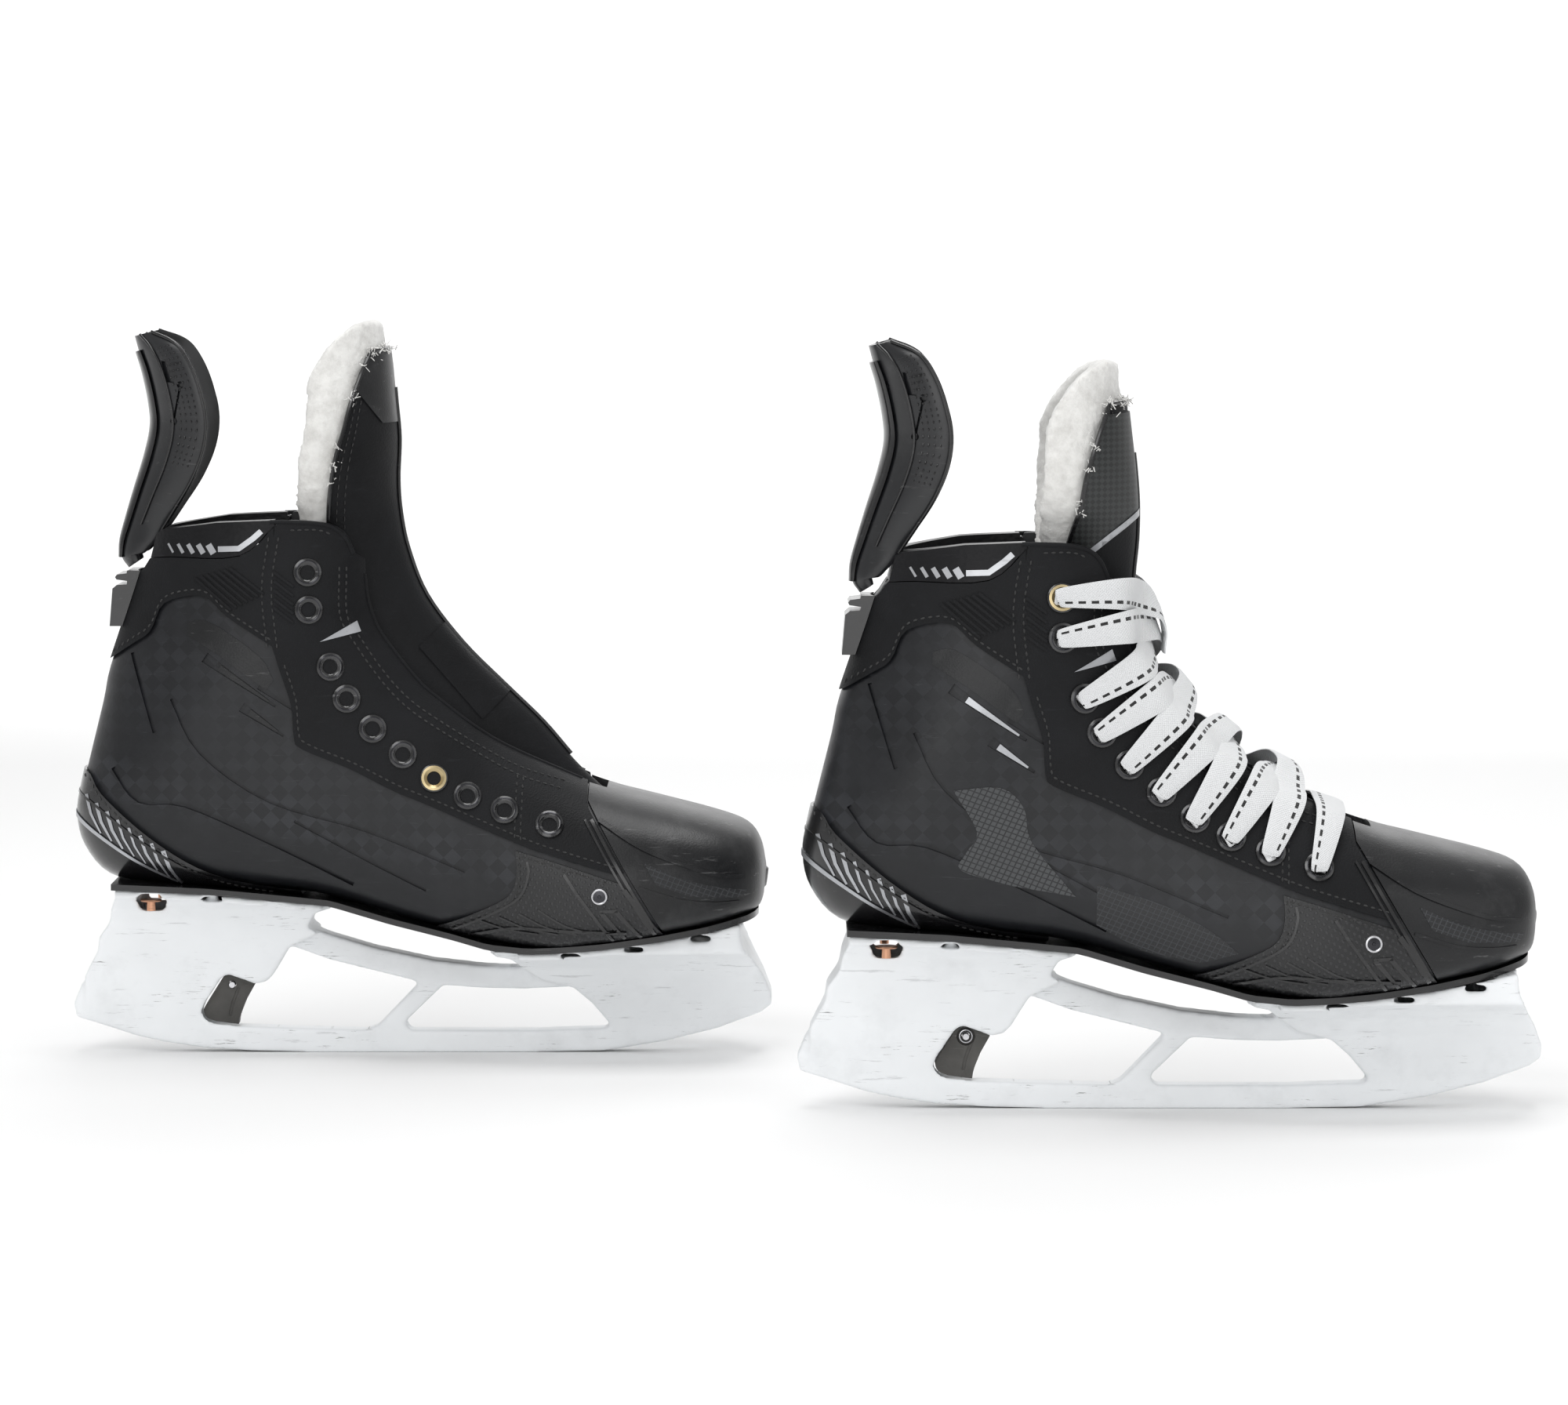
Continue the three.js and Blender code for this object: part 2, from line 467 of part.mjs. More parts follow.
function holderBody() {
  const [rail, beam] = [RAIL_HALF_WIDTH, BEAM_HALF_WIDTH];
  const low = [
    ...HOLDER_BOTTOM, [145, 25.5], [141.7, 33.5], [125, 31], [78, 30], [63, 27.7], [42.8, 26.6],
    [8.8, 28.2], [-0.9, 29.5], [-38.1, 38.8], [-54.6, 44.7], [-100, 40], [-141.2, 29.3], [-144.8, 20.4],
  ];
  const railBody = side(low, -rail, rail);
  const beamOutline = [
    ...UPPER_WINDOW.slice(0, -1), [60, 34], [64, 27.7], [42.8, 26.6], [26.9, 26.9], [8.8, 28.2],
    [-0.9, 29.5], [-16.8, 33.5], [-38.1, 38.8], [-54.6, 44.7], [-60, 48], [-56, 54],
  ];
  const bridge = side(beamOutline.reverse(), -beam, beam);
  const rearOutline = [
    ...HOLDER_BOTTOM.slice(0, 6), [-64, 0.5], ...[...REAR_TOWER_FRONT].reverse(),
    [-38, 75], [-124.8, 75], ...[...HOLDER_REAR].reverse(),
  ];
  const frontOutline = [
    [78, 0.9], ...HOLDER_BOTTOM.slice(10), ...HOLDER_TOE, [132.4, 75], [31, 75],
    ...[...FRONT_TOWER_REAR].reverse(),
  ];
  let body = railBody.add(bridge)
    .add(tower(rearOutline, REAR_TAPER, REAR_SPAN))
    .add(tower(frontOutline, FRONT_TAPER, FRONT_SPAN))
    .add(flange(REAR_SPAN, REAR_FLANGE_HALF))
    .add(flange(FRONT_SPAN, FRONT_FLANGE_HALF));
  // hollows that open towards the boot, each with a cross rib left between them
  const hollow = (from, to, floor, levels) => {
    const low = [[from, floor + 4], [from + 3, floor], [to - 3, floor], [to, floor + 4]];
    return wide([...low, [to, 80], [from, 80]]).intersect(taper(levels, from - 5, to + 5, TOWER_WALL));
  };
  body = body.subtract(hollow(-118, -88, 52, REAR_TAPER)).subtract(hollow(-83, -52, 52, REAR_TAPER));
  body = body.subtract(hollow(46, 82, 38.5, FRONT_TAPER)).subtract(hollow(87, 124, 38.5, FRONT_TAPER));
  for (const w of [REAR_WINDOW, FRONT_WINDOW]) body = body.subtract(wide(w));
  // slot for the steel, along the whole rail
  const run = HOLDER_BOTTOM.slice(2, -2);
  const deep = (RUNNER_SLOT_DEPTH * DRAWN_HEIGHT) / SKATE_HEIGHT;
  const slot = [...shifted(run, 0, -3), ...shifted(run, 0, deep).reverse()];
  body = body.subtract(side(slot, -RUNNER_SLOT / 2, RUNNER_SLOT / 2));
  // the trigger's pocket runs back inside the rear tower
  const room = TRIGGER_HALF_WIDTH + TRIGGER_SIDE_GAP;
  const pocket = [
    [-80, 33.8], [-84.4, 32.6], [-92, 22], [-91 - TRIGGER_TRAVEL, 20], [-91.5 - TRIGGER_TRAVEL, 13],
    [-88, 10.8], [-76, 10.6], [-66, 29],
  ];
  body = body.subtract(side(pocket, -room, room));
  const pin = place(PIN_PLACE);
  const bore = PIN_DIAMETER + 2 * PIN_CLEARANCE;
  body = body.subtract(acrossFoot(pin, bore / 2, -room - 1.6, room + 1.6));
  for (const sign of [-1, 1]) {
    const [x, z] = RIVET_PLACE;
    const cup = [[x - 6.5, z + 1.1], [x + 6.5, z + 0.6], [x + 5, z - 5], [x - 4, z - 5]];
    const inner = sy(REAR_FLANGE_HALF) - 13;
    body = body.subtract(sign < 0 ? side(cup, -BALL_WIDTH, -inner) : side(cup, inner, BALL_WIDTH));
  }
  return body;
}

// A round bar or bore across the foot.
function acrossFoot(at, radius, y0, y1) {
  const bar = new THREE.CylinderGeometry(radius, radius, y1 - y0, ROUND);
  return solid(bar.translate(at.x, (y0 + y1) / 2, at.y));
}

// ---------------------------------------------------------------- eyelets and lace
const FACING_TOP = GAP + WRAP_THICKNESS; // the facing's outer face, outside the shell
const EYELET_DEPTH = FACING_TOP + SHELL_WALL + STAY_INSIDE;
const EYELET_SIDES = 6;
const ROUND = 8; // sides of the small round pieces

// The band that the eyelets are set in, seen from the side, a margin wider than the band.
function stayBand(margin) {
  const half = STAY_HALF_WIDTH + margin;
  const centres = EYELETS.map(place);
  const last = centres.length - 1;
  const edge = (way) => centres.map((c, i) => {
    const go = heading(centres, i);
    const reach = c.clone().addScaledVector(new THREE.Vector2(go.y, -go.x), way * half);
    if (i === 0) reach.addScaledVector(go, -half);
    if (i === last) reach.addScaledVector(go, half);
    return [(reach.x * DRAWN_LENGTH) / HOLDER_LENGTH, (reach.y * DRAWN_HEIGHT) / SKATE_HEIGHT];
  });
  return wide([...edge(1), ...edge(-1).reverse()]);
}

// One side's ten eyelets, set in the stay that carries them through facing and shell.
function eyeletRow(spots, half) {
  const [bore, barrel, rim] = [EYELET_BORE / 2, EYELET_BORE / 2 + EYELET_WALL, EYELET_FLANGE / 2];
  const top = EYELET_RIM_HEIGHT;
  const wall = boot(FACING_TOP - GAP).subtract(boot(-SHELL_WALL - STAY_INSIDE));
  let row = wall.intersect(stayBand(0)).intersect(half);
  for (const { point, normal } of spots) {
    const neck = [[0, -1.5], [barrel, -1.5], [barrel, RIM_STAND]];
    const rimBody = [...neck, [rim, RIM_STAND], [rim, top], [0, top]];
    row = row.add(turned(rimBody, point, normal, EYELET_SIDES));
  }
  for (const { point, normal } of spots) {
    const drill = [[0, -EYELET_DEPTH - 4], [bore, -EYELET_DEPTH - 4], [bore, top + 2], [0, top + 2]];
    row = row.subtract(turned(drill, point, normal, EYELET_SIDES));
  }
  return row;
}

// A place over the throat: level in eyelets from the top, sideways place and height above the
// line of the facings' edges.
function overThroat(level, y, height) {
  const line = new THREE.CatmullRomCurve3(THROAT.map(([p]) => {
    const at = place(p);
    return new THREE.Vector3(at.x, 0, at.y);
  }));
  const nearest = (i) => {
    const [c, samples] = [place(EYELETS[i]), 120];
    const far = (t) => {
      const p = line.getPoint(t);
      return Math.hypot(p.x - c.x, p.z - c.y);
    };
    const steps = Array.from({ length: samples + 1 }, (_, k) => k / samples);
    return steps.reduce((a, b) => (far(b) < far(a) ? b : a));
  };
  const low = Math.floor(level);
  const part = level - low;
  const t = nearest(low) * (1 - part) + (part ? nearest(low + 1) * part : 0);
  const at = line.getPoint(t);
  const go = line.getTangent(t);
  return new THREE.Vector3(at.x + go.z * height, y, at.z - go.x * height);
}

// The lace: a bar across the lowest eyelets, then each end runs up inside to the next eyelet,
// comes out and crosses over the tongue, and ends tucked under the crossings at the top.
function lacePath(spots) {
  const r = LACE_THICKNESS / 2;
  const hole = (sign, i) => {
    const { point, normal } = spots[sign][i];
    return [3.8 + r, -2, -EYELET_DEPTH - r - 1].map((h) => point.clone().addScaledVector(normal, h));
  };
  const edgeRise = r + 5.5;
  // beside the facing's front edge, level with the eyelet
  const corner = (sign, i, ahead) => {
    const out = Math.abs(spots[sign][i].point.y) - 0.5;
    const y = out - (i / 9) * 0.6 * (out - THROAT_HALF_GAP);
    return overThroat(Math.max(i - ahead, 0), sign * y, r + 3);
  };
  const strand = (start) => {
    const points = [];
    let sign = start;
    points.push(...hole(sign, 9), ...hole(sign, 8).reverse());
    for (let i = 8; i >= 2; i -= 2) {
      const lift = start < 0 ? 12.5 : 17.5;
      points.push(corner(sign, i, 0.05), overThroat(i - 0.14, sign * 20, edgeRise + 2.5));
      points.push(overThroat(i - 0.35, sign * 8, lift), overThroat(i - 0.65, -sign * 8, lift));
      points.push(overThroat(i - 0.86, -sign * 20, edgeRise + 2.5), corner(-sign, i - 1, -0.05));
      sign = -sign;
      points.push(...hole(sign, i - 1), ...hole(sign, i - 2).reverse());
    }
    points.push(corner(sign, 0, 0), overThroat(0.25, sign * 18, edgeRise + 5));
    points.push(overThroat(0.8, sign * 9, 23), overThroat(1.7, sign * 4, 23.5));
    points.push(overThroat(2.35, sign * 3.4, 18), overThroat(2.6, sign * 3, 12));
    return points;
  };
  const middle = [overThroat(9, -9, edgeRise + 1), overThroat(9, 9, edgeRise + 1)];
  return [...strand(-1).reverse(), corner(-1, 9, 0), ...middle, corner(1, 9, 0), ...strand(1)];
}

function tubeAlong(points, radius, sides) {
  let normal = new THREE.Vector3(0, 1, 0).cross(heading(points, 0)).normalize();
  const rings = points.map((p, i) => {
    const t = heading(points, i);
    normal = normal.addScaledVector(t, -normal.dot(t)).normalize().clone();
    const other = t.clone().cross(normal);
    return Array.from({ length: sides }, (_, k) => {
      const turn = (k / sides) * 2 * Math.PI;
      const [c, s] = [radius * Math.cos(turn), radius * Math.sin(turn)];
      return p.clone().addScaledVector(normal, c).addScaledVector(other, s);
    });
  });
  return loft(rings);
}

// ---------------------------------------------------------------- finishes
function finish(color, roughness, metalness = 0) {
  return new THREE.MeshStandardMaterial({ color, roughness, metalness });
}
const MATERIALS = {
  carbon: finish(0x2a2c2f, 0.42),
  wrap: finish(0x17181a, 0.75),
  rubber: finish(0x0d0e0f, 0.3),
  satin: finish(0x1a1b1d, 0.35),
  felt: finish(0xe4e3de, 0.95),
  lining: finish(0x202124, 0.9),
  plastic: finish(0x141517, 0.4),
  holder: finish(0xe9edee, 0.4),
  trigger: finish(0x4b4b48, 0.5),
  steel: finish(0xb9bcc0, 0.3, 1),
  copper: finish(0xb06a45, 0.35, 1),
  enamel: finish(0x0c0c0d, 0.25, 0.3),
  lace: finish(0xf0f0ee, 0.9),
};

// ---------------------------------------------------------------- one skate
function skate(prefix, laced) {
  const pieces = [];
  const add = (name, body, material) => {
    pieces.push(mesh(prefix + "_" + name, body, MATERIALS[material]));
  };
  const names = { "-1": "inner", 1: "outer" }; // inner and outer side of the foot
  const halves = { "-1": [-BALL_WIDTH, -GAP / 2], 1: [GAP / 2, BALL_WIDTH] };
  const spotsOn = (sign) => EYELETS.map(([x, z]) => surface(x, z, sign, FACING_TOP));
  const spots = { "-1": spotsOn(-1), 1: spotsOn(1) };
  const bores = stayBand(2 * GAP);
  const opening = throat(0, 40, 30);
  const linerInset = SHELL_WALL + GAP;
  const linerCore = linerInset + LINER_THICKNESS;
  const room = guardRoom();
  const open = (grow, core) => boot(grow).subtract(boot(core, true)).subtract(opening);
  const layer = (thickness) => boot(GAP + thickness).subtract(boot(GAP, true)).subtract(opening);

  const wall = open(0, -SHELL_WALL);
  add("quarter_shell", wall.intersect(wide(BOOT_REGION)).subtract(bores).subtract(room), "carbon");
  add("toe_cap", open(TOE_CAP_PROUD, -SHELL_WALL).intersect(wide(TOE_REGION)), "satin");

  const footprint = (share) => {
    const spread = 0.9 + 0.1 * share;
    const plan = SECTIONS.slice(1, 12).map(([[x], , half, , , , lean]) => ({
      x: sx(x) * spread,
      left: sy(lean) + sy(half) * share,
      right: sy(lean) - sy(half) * share,
    }));
    const rim = plan.map((p) => new THREE.Vector2(p.x, p.left));
    rim.push(...plan.reverse().map((p) => new THREE.Vector2(p.x, p.right)));
    const sizes = { depth: SKATE_HEIGHT, bevelEnabled: false };
    return solid(new THREE.ExtrudeGeometry(new THREE.Shape(rim), sizes));
  };
  const under = (low, high) => wide([...soleLine(low, -145, 150), ...soleLine(high, -145, 150).reverse()]);
  add("outsole", under(0, OUTSOLE_THICKNESS).intersect(footprint(0.86)), "rubber");
  const bed = BOTTOM + SHELL_WALL + GAP;
  const bedLength = wide([[-145, 40], [130, 40], [130, 120], [-145, 120]]);
  const bedBand = under(bed, bed + FOOTBED_THICKNESS).intersect(bedLength);
  add("footbed", bedBand.intersect(boot(-linerInset - 0.8)), "lining");

  const linerLow = soleLine(bed + FOOTBED_THICKNESS + GAP, -149, 22);
  const linerRegion = [...linerLow.reverse(), [-149, 194], ...TOP_EDGE.slice(1, -2), [-22, 160], [22, 120]];
  const padding = boot(-linerInset).subtract(boot(-linerCore, true)).subtract(throat(17, 40, 30));
  add("liner", padding.intersect(wide(linerRegion)).subtract(room), "lining");

  const skin = layer(WRAP_THICKNESS).intersect(wide(BOOT_REGION));
  add("ankle_wrap", skin.intersect(wide(WRAP_REGION)).subtract(room), "wrap");
  add("heel_wrap", layer(RUBBER_THICKNESS).intersect(wide(HEEL_REGION)), "rubber");
  const facing = skin.intersect(wide(FACING_REGION)).subtract(bores);
  const rubber = boot(GAP + FOREFOOT_RUBBER).subtract(boot(GAP)).intersect(wide(BOOT_REGION));
  const forefoot = rubber.intersect(wide(FOREFOOT_REGION));
  const collar = boot(FACING_TOP).subtract(boot(-linerCore, true));
  const pads = collar.intersect(wide(PAD_REGION)).subtract(room);
  for (const sign of [-1, 1]) {
    const half = side([[-160, 0], [160, 0], [160, 300], [-160, 300]], ...halves[sign]);
    add("facing_" + names[sign], facing.intersect(half), "wrap");
    add("forefoot_wrap_" + names[sign], forefoot.intersect(half), "rubber");
    add("collar_pad_" + names[sign], pads.intersect(half), "rubber");
    add("eyelets_" + names[sign], eyeletRow(spots[sign], half), "enamel");
    const { point, normal } = surface(...SCREW_PLACE, sign, GAP + FOREFOOT_RUBBER + GAP);
    const r = SCREW_DIAMETER / 2;
    const head = [[0, 0], [r, 0], [r, 0.8], [r * 0.7, 1.5], [0, 1.6]];
    add("flex_screw_" + names[sign], turned(head, point, normal, ROUND), "steel");
  }

  const { felt, face } = tonguePieces(laced ? TONGUE_LACED : TONGUE_UNLACED);
  add("tongue_felt", felt, "felt");
  add("tongue_face", face, "wrap");

  add("tendon_guard", channel(GUARD, 0, GUARD_THICKNESS, -1), "plastic");
  const base = [
    [-127.6, 176], [-126, 194], [-120, 194], [-120, 196.3], [-125.4, 196.9], [-125.2, 199.3],
    [-120.6, 199.9],
    [-120.4, 201.2 - GAP], [-112, 201.2 - GAP], [-112, 176],
  ];
  const keepOut = boot(FACING_TOP + GAP);
  const block = side(base, -12, 12).subtract(keepOut);
  const largest = block.decompose().reduce((a, b) => (a.volume() > b.volume() ? a : b));
  add("guard_base", largest, "plastic");

  add("blade_holder", holderBody(), "holder");
  const pin = place(PIN_PLACE);
  const pinHole = PIN_DIAMETER / 2 + PIN_CLEARANCE;
  const coil = PIN_DIAMETER / 2 + 2;
  const w = TRIGGER_HALF_WIDTH;
  let trigger = side(TRIGGER, -w, w).subtract(acrossFoot(pin, pinHole, -w - 1, w + 1));
  trigger = trigger.subtract(acrossFoot(pin, coil + GAP, w - SPRING_WIDTH - 2 * GAP, w + 1));
  add("runner_trigger", trigger, "trigger");
  const pinEnd = w + TRIGGER_SIDE_GAP + 1.4;
  add("trigger_pin", acrossFoot(pin, PIN_DIAMETER / 2, -pinEnd, pinEnd), "steel");
  const ring = acrossFoot(pin, coil, w - SPRING_WIDTH - GAP, w - GAP);
  add("trigger_spring", ring.subtract(acrossFoot(pin, pinHole, 0, w + 1)), "steel");
  for (const sign of [-1, 1]) {
    const [x, z] = RIVET_PLACE;
    const at = new THREE.Vector3(sx(x), sign * (sy(REAR_FLANGE_HALF) - 7), sz(z) - 4.6);
    const up = new THREE.Vector3(0, 0, 1);
    const [stub, disc] = [RIVET_STUB / 2, RIVET_DISC / 2];
    const profile = [[0, 0], [stub, 0], [stub, 3.9], [disc, 4.2], [disc, 4.9], [0, 4.9]];
    add("rivet_" + names[sign], turned(profile, at, up, ROUND), "copper");
  }
  if (laced) add("lace", tubeAlong(lacePath(spots), LACE_THICKNESS / 2, 5), "lace");

  const group = new THREE.Group();
  group.add(...pieces);
  return group;
}

// ---------------------------------------------------------------- the pair
const pair = new THREE.Group();
const left = skate("left", false);
left.position.set(-PAIR_STAGGER / 2, PAIR_SPACING / 2, 0);
const right = skate("right", true);
right.position.set(PAIR_STAGGER / 2, -PAIR_SPACING / 2, 0);
right.scale.y = -1;
pair.add(left, right);
export default pair;
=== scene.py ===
"""A pair of ice hockey skates: smooth boots, tongues, guards, holders and a laced right skate.

Shapes are drawn in millimetres in the left skate's own frame (x = 0 at mid holder, z = 0 at the
floor, inner side of the foot towards -y) and are then set in the pair's frame, in metres.
"""

import json
import math
import random

import bmesh
import bpy
import numpy as np
from mathutils import Vector, noise
from mathutils.bvhtree import BVHTree
from mathutils.kdtree import KDTree
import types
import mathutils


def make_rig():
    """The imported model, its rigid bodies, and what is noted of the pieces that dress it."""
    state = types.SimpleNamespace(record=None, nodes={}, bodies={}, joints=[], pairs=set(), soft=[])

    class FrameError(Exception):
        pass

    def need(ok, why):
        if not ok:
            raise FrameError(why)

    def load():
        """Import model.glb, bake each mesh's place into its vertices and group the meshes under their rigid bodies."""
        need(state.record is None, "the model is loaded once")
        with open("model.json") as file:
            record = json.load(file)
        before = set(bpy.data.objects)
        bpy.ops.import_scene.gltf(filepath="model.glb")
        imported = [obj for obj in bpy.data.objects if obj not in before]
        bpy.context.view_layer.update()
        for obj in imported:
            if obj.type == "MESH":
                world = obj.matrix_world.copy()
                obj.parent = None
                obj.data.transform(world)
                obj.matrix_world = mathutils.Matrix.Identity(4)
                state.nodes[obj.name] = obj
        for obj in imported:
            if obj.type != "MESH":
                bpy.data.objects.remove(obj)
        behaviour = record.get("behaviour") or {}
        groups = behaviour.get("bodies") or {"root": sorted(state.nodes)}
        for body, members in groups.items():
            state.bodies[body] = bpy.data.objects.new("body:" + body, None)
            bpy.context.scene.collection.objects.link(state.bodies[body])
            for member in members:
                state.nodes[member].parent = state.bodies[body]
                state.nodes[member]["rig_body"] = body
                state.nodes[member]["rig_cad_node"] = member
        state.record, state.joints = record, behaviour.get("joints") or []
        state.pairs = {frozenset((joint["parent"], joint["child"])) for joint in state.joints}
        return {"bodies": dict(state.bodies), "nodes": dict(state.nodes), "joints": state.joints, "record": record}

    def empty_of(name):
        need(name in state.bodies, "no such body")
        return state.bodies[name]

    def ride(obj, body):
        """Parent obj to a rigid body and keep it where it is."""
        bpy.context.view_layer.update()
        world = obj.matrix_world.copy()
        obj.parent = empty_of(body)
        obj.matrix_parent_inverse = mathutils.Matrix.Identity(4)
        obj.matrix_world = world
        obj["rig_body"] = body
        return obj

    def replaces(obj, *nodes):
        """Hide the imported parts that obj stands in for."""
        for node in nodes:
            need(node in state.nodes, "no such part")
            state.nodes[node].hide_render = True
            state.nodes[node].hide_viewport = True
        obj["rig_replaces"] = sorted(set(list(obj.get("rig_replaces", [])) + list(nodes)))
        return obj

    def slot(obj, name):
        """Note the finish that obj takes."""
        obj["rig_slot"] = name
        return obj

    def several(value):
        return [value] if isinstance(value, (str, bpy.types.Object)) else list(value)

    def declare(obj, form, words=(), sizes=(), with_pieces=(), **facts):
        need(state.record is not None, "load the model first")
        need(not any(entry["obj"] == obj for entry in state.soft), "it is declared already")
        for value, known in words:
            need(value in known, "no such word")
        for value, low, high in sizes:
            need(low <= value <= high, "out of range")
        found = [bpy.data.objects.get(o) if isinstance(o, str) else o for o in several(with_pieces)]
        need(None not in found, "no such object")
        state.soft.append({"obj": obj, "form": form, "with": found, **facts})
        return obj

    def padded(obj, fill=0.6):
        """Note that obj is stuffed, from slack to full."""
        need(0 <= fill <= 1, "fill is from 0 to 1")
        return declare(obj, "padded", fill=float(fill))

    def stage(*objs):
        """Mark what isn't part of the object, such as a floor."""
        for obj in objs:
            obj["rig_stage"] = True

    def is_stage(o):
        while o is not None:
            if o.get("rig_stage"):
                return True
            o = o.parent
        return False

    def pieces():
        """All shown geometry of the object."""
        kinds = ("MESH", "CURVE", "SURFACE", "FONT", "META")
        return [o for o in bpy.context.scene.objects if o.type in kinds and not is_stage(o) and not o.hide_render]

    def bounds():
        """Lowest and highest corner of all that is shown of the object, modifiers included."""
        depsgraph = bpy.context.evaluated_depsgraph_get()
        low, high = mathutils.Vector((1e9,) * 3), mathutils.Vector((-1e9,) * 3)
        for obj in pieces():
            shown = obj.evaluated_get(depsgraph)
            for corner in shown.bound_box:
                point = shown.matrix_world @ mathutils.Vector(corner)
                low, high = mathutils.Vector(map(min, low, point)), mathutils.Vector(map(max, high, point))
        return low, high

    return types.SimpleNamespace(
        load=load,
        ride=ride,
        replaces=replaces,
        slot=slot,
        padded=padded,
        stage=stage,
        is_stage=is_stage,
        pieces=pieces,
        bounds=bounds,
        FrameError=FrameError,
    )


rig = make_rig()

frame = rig.load()
cad_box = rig.bounds()
random.seed(12)

MM = 0.001
PAIR_SPACING = 150
PAIR_STAGGER = 300
GAP = 0.3
SHELL_WALL = 3.2
WRAP_THICKNESS = 1.2
RUBBER_THICKNESS = 1.7
FOREFOOT_RUBBER = 1.3
TOE_CAP_PROUD = 0.8
OUTSOLE_THICKNESS = 2.5
LINER_THICKNESS = 5
THROAT_HALF_GAP = 25
FACING_TOP = GAP + WRAP_THICKNESS
BOTTOM = OUTSOLE_THICKNESS + GAP
LINER_INSET = SHELL_WALL + GAP
LINER_CORE = LINER_INSET + LINER_THICKNESS
OPEN_TOP = 14
REACH = 100  # half the depth of a cutting outline
SIDES = {"inner": -1, "outer": 1}


# ---------------------------------------------------------------- shapes and placing
def through(rows, steps=4):
    """Rows of numbers, with a smooth curve of others filled in between them."""
    rows = np.array(rows, float)
    padded = np.vstack([2 * rows[0] - rows[1], rows, 2 * rows[-1] - rows[-2]])
    curve = []
    for a, b, c, d in zip(padded, padded[1:], padded[2:], padded[3:]):
        for t in np.arange(steps) / steps:
            bend = (2 * a - 5 * b + 4 * c - d) * t * t + (3 * b - a - 3 * c + d) * t**3
            curve.append(b + 0.5 * ((c - a) * t + bend))
    curve.append(rows[-1])
    return np.array(curve)


def soft(points, steps=4):
    """A smooth open line of [x, z] points."""
    return [tuple(p) for p in through(points, steps)]


def lofted(rings):
    """A closed skin over rings of points."""
    count, rows = len(rings[0]), len(rings)
    bm = bmesh.new()
    bmesh.ops.create_grid(bm, x_segments=count, y_segments=rows - 1, size=0.5)
    for v in bm.verts:
        k = round((v.co.x + 0.5) * count) % count
        row = round((v.co.y + 0.5) * (rows - 1))
        v.co = rings[row][k]
    bmesh.ops.remove_doubles(bm, verts=bm.verts, dist=1e-4)
    bmesh.ops.holes_fill(bm, edges=[e for e in bm.edges if e.is_boundary], sides=0)
    bmesh.ops.recalc_face_normals(bm, faces=bm.faces)
    return bm


def drawn_out(outlines, move):
    """Flat outlines of points, as solids drawn out along a move."""
    bm = bmesh.new()
    for outline in outlines:
        face = bm.faces.new([bm.verts.new(p) for p in outline])
        grown = bmesh.ops.extrude_face_region(bm, geom=[face])["geom"]
        far = [g for g in grown if isinstance(g, bmesh.types.BMVert)]
        bmesh.ops.translate(bm, verts=far, vec=move)
    bmesh.ops.recalc_face_normals(bm, faces=bm.faces)
    return bm


def prism(outlines, y0=-REACH, y1=REACH):
    """Side view outlines of [x, z] points, as solids between two values of y."""
    return drawn_out([[(x, y0, z) for x, z in outline] for outline in outlines], (0, y1 - y0, 0))


def strip(line, width, taper=1.0):
    """The outline of a band of that width along an open line, narrower towards its far end."""
    line = [Vector(p) for p in line]
    left, right = [], []
    for i, p in enumerate(line):
        go = (line[min(i + 1, len(line) - 1)] - line[max(i - 1, 0)]).normalized()
        half = width / 2 * (1 + (taper - 1) * i / max(len(line) - 1, 1))
        off = Vector((-go.y, go.x)) * half
        left.append(tuple(p + off))
        right.append(tuple(p - off))
    return left + right[::-1]


def shifted(line, dx, dz=0.0):
    """A side view line moved along."""
    return [(x + dx, z + dz) for x, z in line]


def tube(points, radius, sides=8):
    """A round rod through points, with closed ends."""
    points = [Vector(p) for p in points]
    normal = Vector((0, 1, 0))
    rings = []
    for i, p in enumerate(points):
        t = (points[min(i + 1, len(points) - 1)] - points[max(i - 1, 0)]).normalized()
        normal = (normal - t * normal.dot(t)).normalized()
        other = t.cross(normal)
        rings.append([tuple(p + (normal * math.cos(a) + other * math.sin(a)) * radius)
                      for a in [k / sides * math.tau for k in range(sides)]])
    return lofted(rings)


def lathe(profile, steps=24, ring=False):
    """A solid of revolution about z: its [radius, height] points end on the axis or go round."""
    bm = bmesh.new()
    line = [bm.verts.new((r, 0, h)) for r, h in profile]
    ends = line[1:] + line[:1] if ring else line[1:]
    edges = [bm.edges.new(pair) for pair in zip(line, ends)]
    bmesh.ops.spin(
        bm, geom=line + edges, cent=(0, 0, 0), axis=(0, 0, 1), dvec=(0, 0, 0),
        angle=math.tau, steps=steps, use_merge=True, use_duplicate=False,
    )
    bmesh.ops.remove_doubles(bm, verts=bm.verts, dist=1e-4)
    bmesh.ops.recalc_face_normals(bm, faces=bm.faces)
    return bm


def stand(bm, at, normal):
    """Stands a piece drawn round z at a point, along a direction."""
    lean = Vector((0, 0, 1)).rotation_difference(Vector(normal)).to_matrix().to_4x4()
    bmesh.ops.transform(bm, verts=bm.verts, matrix=lean)
    bmesh.ops.translate(bm, verts=bm.verts, vec=at)
    return bm


def dot(x, z, radius, sides=16):
    """A round outline."""
    turns = [k / sides * math.tau for k in range(sides)]
    return [(x + radius * math.cos(a), z + radius * math.sin(a)) for a in turns]


